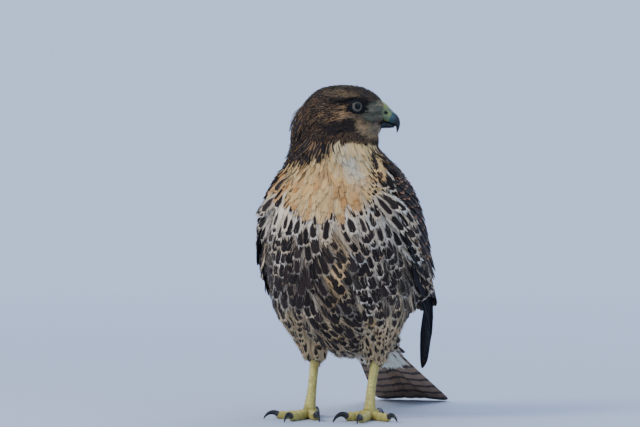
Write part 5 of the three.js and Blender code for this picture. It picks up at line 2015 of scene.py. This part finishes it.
    def _claw(self, form: Form, toe: Toe) -> None:
        """Adds one curved claw, grooved underneath, with its point just over the floor."""
        way = toe.way
        cross = np.array([-way[1], way[0], 0])
        share = np.linspace(-0.06, 1, 26)
        turn = self.claw_start + self.claw_bend * share
        bend = toe.claw / self.claw_bend
        ahead = bend * (np.sin(turn) - math.sin(self.claw_start))
        middle = np.r_[self.sole, self.claw_z] + way * toe.length + ahead[:, None] * way
        middle[:, 2] += bend * (np.cos(turn) - math.cos(self.claw_start))
        thick = toe.radius * 0.62 * (1 - np.clip(share, 0, 1)) ** 0.72 + 0.16
        normal = np.sin(turn)[:, None] * way + np.cos(turn)[:, None] * UP
        angle = turns(20)
        groove = 1 - 0.3 * np.exp(-((angle - 1.5 * np.pi) / 0.35) ** 2)
        wide, deep = (np.cos(angle) * groove)[:, None], (np.sin(angle) * groove)[:, None]
        rings = (middle[:, None] + cross * wide * thick[:, None, None] * 0.9
                 + normal[:, None] * deep * thick[:, None, None] * 1.12)
        rings[..., 2] = np.maximum(rings[..., 2], 0.25)
        form.loft(rings * (self.side, 1, 1), Run=np.clip(share, 0, 1))


# Stage

@dataclass
class Studio:
    """The plain pale floor, the soft lights and the camera."""

    distance: float = 4.0
    azimuth: float = math.radians(18)
    elevation: float = math.radians(1.5)
    pixel: float = 1.05 * MM
    size: tuple[int, int] = (640, 427)
    middle: tuple[float, float] = (337.5, 419.0)
    sky: tuple[float, ...] = (0.62, 0.8, 1.2)
    lights: tuple = (
        ("key", (-1.7, -2.2, 2.5), 1.3, 66.0, (1.0, 0.93, 0.83)),
        ("fill", (2.4, -1.8, 1.6), 2.0, 10.0, (0.95, 0.97, 1.0)),
        ("back", (0.8, 2.6, 2.2), 1.8, 26.0, (1.0, 0.98, 0.95)),
    )

    def build(self) -> None:
        """Makes floor, lights, sky and camera."""
        self._floor()
        self._lights()
        self._camera()

    def _floor(self) -> None:
        """A wide round floor."""
        bpy.ops.object.select_all(action="DESELECT")
        bpy.ops.mesh.primitive_circle_add(vertices=96, radius=9.0, fill_type="NGON", location=(0, 0, 0))
        floor = bpy.context.object
        floor.name = "floor"
        floor.data.materials.append(floor_finish())

    def _lights(self) -> None:
        """Soft lights and an even sky."""
        sky = bpy.data.worlds.new("sky")
        sky.use_nodes = True
        glow = sky.node_tree.nodes["Background"].inputs
        glow["Color"].default_value, glow["Strength"].default_value = (*self.sky, 1), 1.0
        bpy.context.scene.world = sky
        for name, at, size, power, colour in self.lights:
            light = bpy.data.lights.new(name, "AREA")
            light.shape, light.size, light.energy, light.color = "DISK", size, power, colour
            source = bpy.data.objects.new(name, light)
            source.location = at
            source.rotation_euler = (Vector((0, 0, 0.2)) - Vector(at)).to_track_quat("-Z", "Y").to_euler()
            bpy.context.scene.collection.objects.link(source)

    def _camera(self) -> None:
        """The camera, level with the bird's middle and just above it, at the photograph's framing."""
        wide, high = self.size
        right = Vector((math.cos(self.azimuth), math.sin(self.azimuth), 0))
        back = Vector((math.sin(self.azimuth), -math.cos(self.azimuth), 0))
        off = SHIFT_Y * MM * math.sin(self.azimuth) + (wide / 2 - self.middle[0]) * self.pixel
        depth = (10 + SHIFT_Y) * MM * -math.cos(self.azimuth)
        aim = right * off + back * depth + Vector((0, 0, (self.middle[1] - high / 2) * self.pixel))
        at = aim + back * self.distance * math.cos(self.elevation)
        at += Vector((0, 0, self.distance * math.sin(self.elevation)))
        camera = bpy.data.cameras.new("camera")
        camera.sensor_width = 36
        camera.lens = 36 * self.distance / (wide * self.pixel)
        camera.clip_end = 60
        made = bpy.data.objects.new("camera", camera)
        made.location = at
        made.rotation_euler = (aim - at).to_track_quat("-Z", "Y").to_euler()
        bpy.context.scene.collection.objects.link(made)
        bpy.context.scene.camera = made


def settle(piece: bpy.types.Object, slot: str, *nodes: str) -> None:
    """Makes a piece part of the object.

    Args:
        piece: The piece.
        slot: A material slot of the record; not used.
        nodes: The solids that it stands for.
    """
    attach(piece, BODY)
    if nodes:
        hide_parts(*nodes)
    LOG.info("%s: %d faces", piece.name, len(piece.data.polygons))


def build_eyes() -> None:
    """Builds both eyeballs, and the lids as one piece."""
    wet = eye_finish()
    lids = Form()
    for side in Side:
        Eye(side).build(wet)
        Eye(side).lids(lids)
    dark = HideFinish("lid_skin", (17, 19, 25), (7, 8, 11), 900, 0.00025, 0.85, 300)
    settle(lids.build("lids", dark.make(), SMOOTH), "head_feathers")


def build_feet() -> None:
    """Builds both feet in their shared finishes."""
    skin = HideFinish("leg_skin", (206, 192, 106), (178, 160, 84), 760, 0.00035, 0.55).make()
    plates = HideFinish("leg_plates", (214, 200, 112), (184, 168, 92), 260, 0.00012, 0.42).make()
    horn = HornFinish("claw_horn", (58, 54, 54), (18, 17, 20), 0.4).make()
    for side in Side:
        Foot(side).build(skin, plates, horn)


def main() -> None:
    """Builds the hawk and its stage."""
    logging.basicConfig(level=logging.INFO, format="%(message)s", stream=sys.stdout)
    Studio().build()
    marks = Markings()
    skin = Skin(marks)
    settle(skin.piece, "breast_feathers", "head", "neck", "torso", "thigh_left", "thigh_right")
    Coat(skin, marks).build()
    for side in Side:
        Wing(side).build()
    Tail().build()
    build_eyes()
    Bill().build(skin)
    build_feet()


if __name__ == "__main__":
    main()
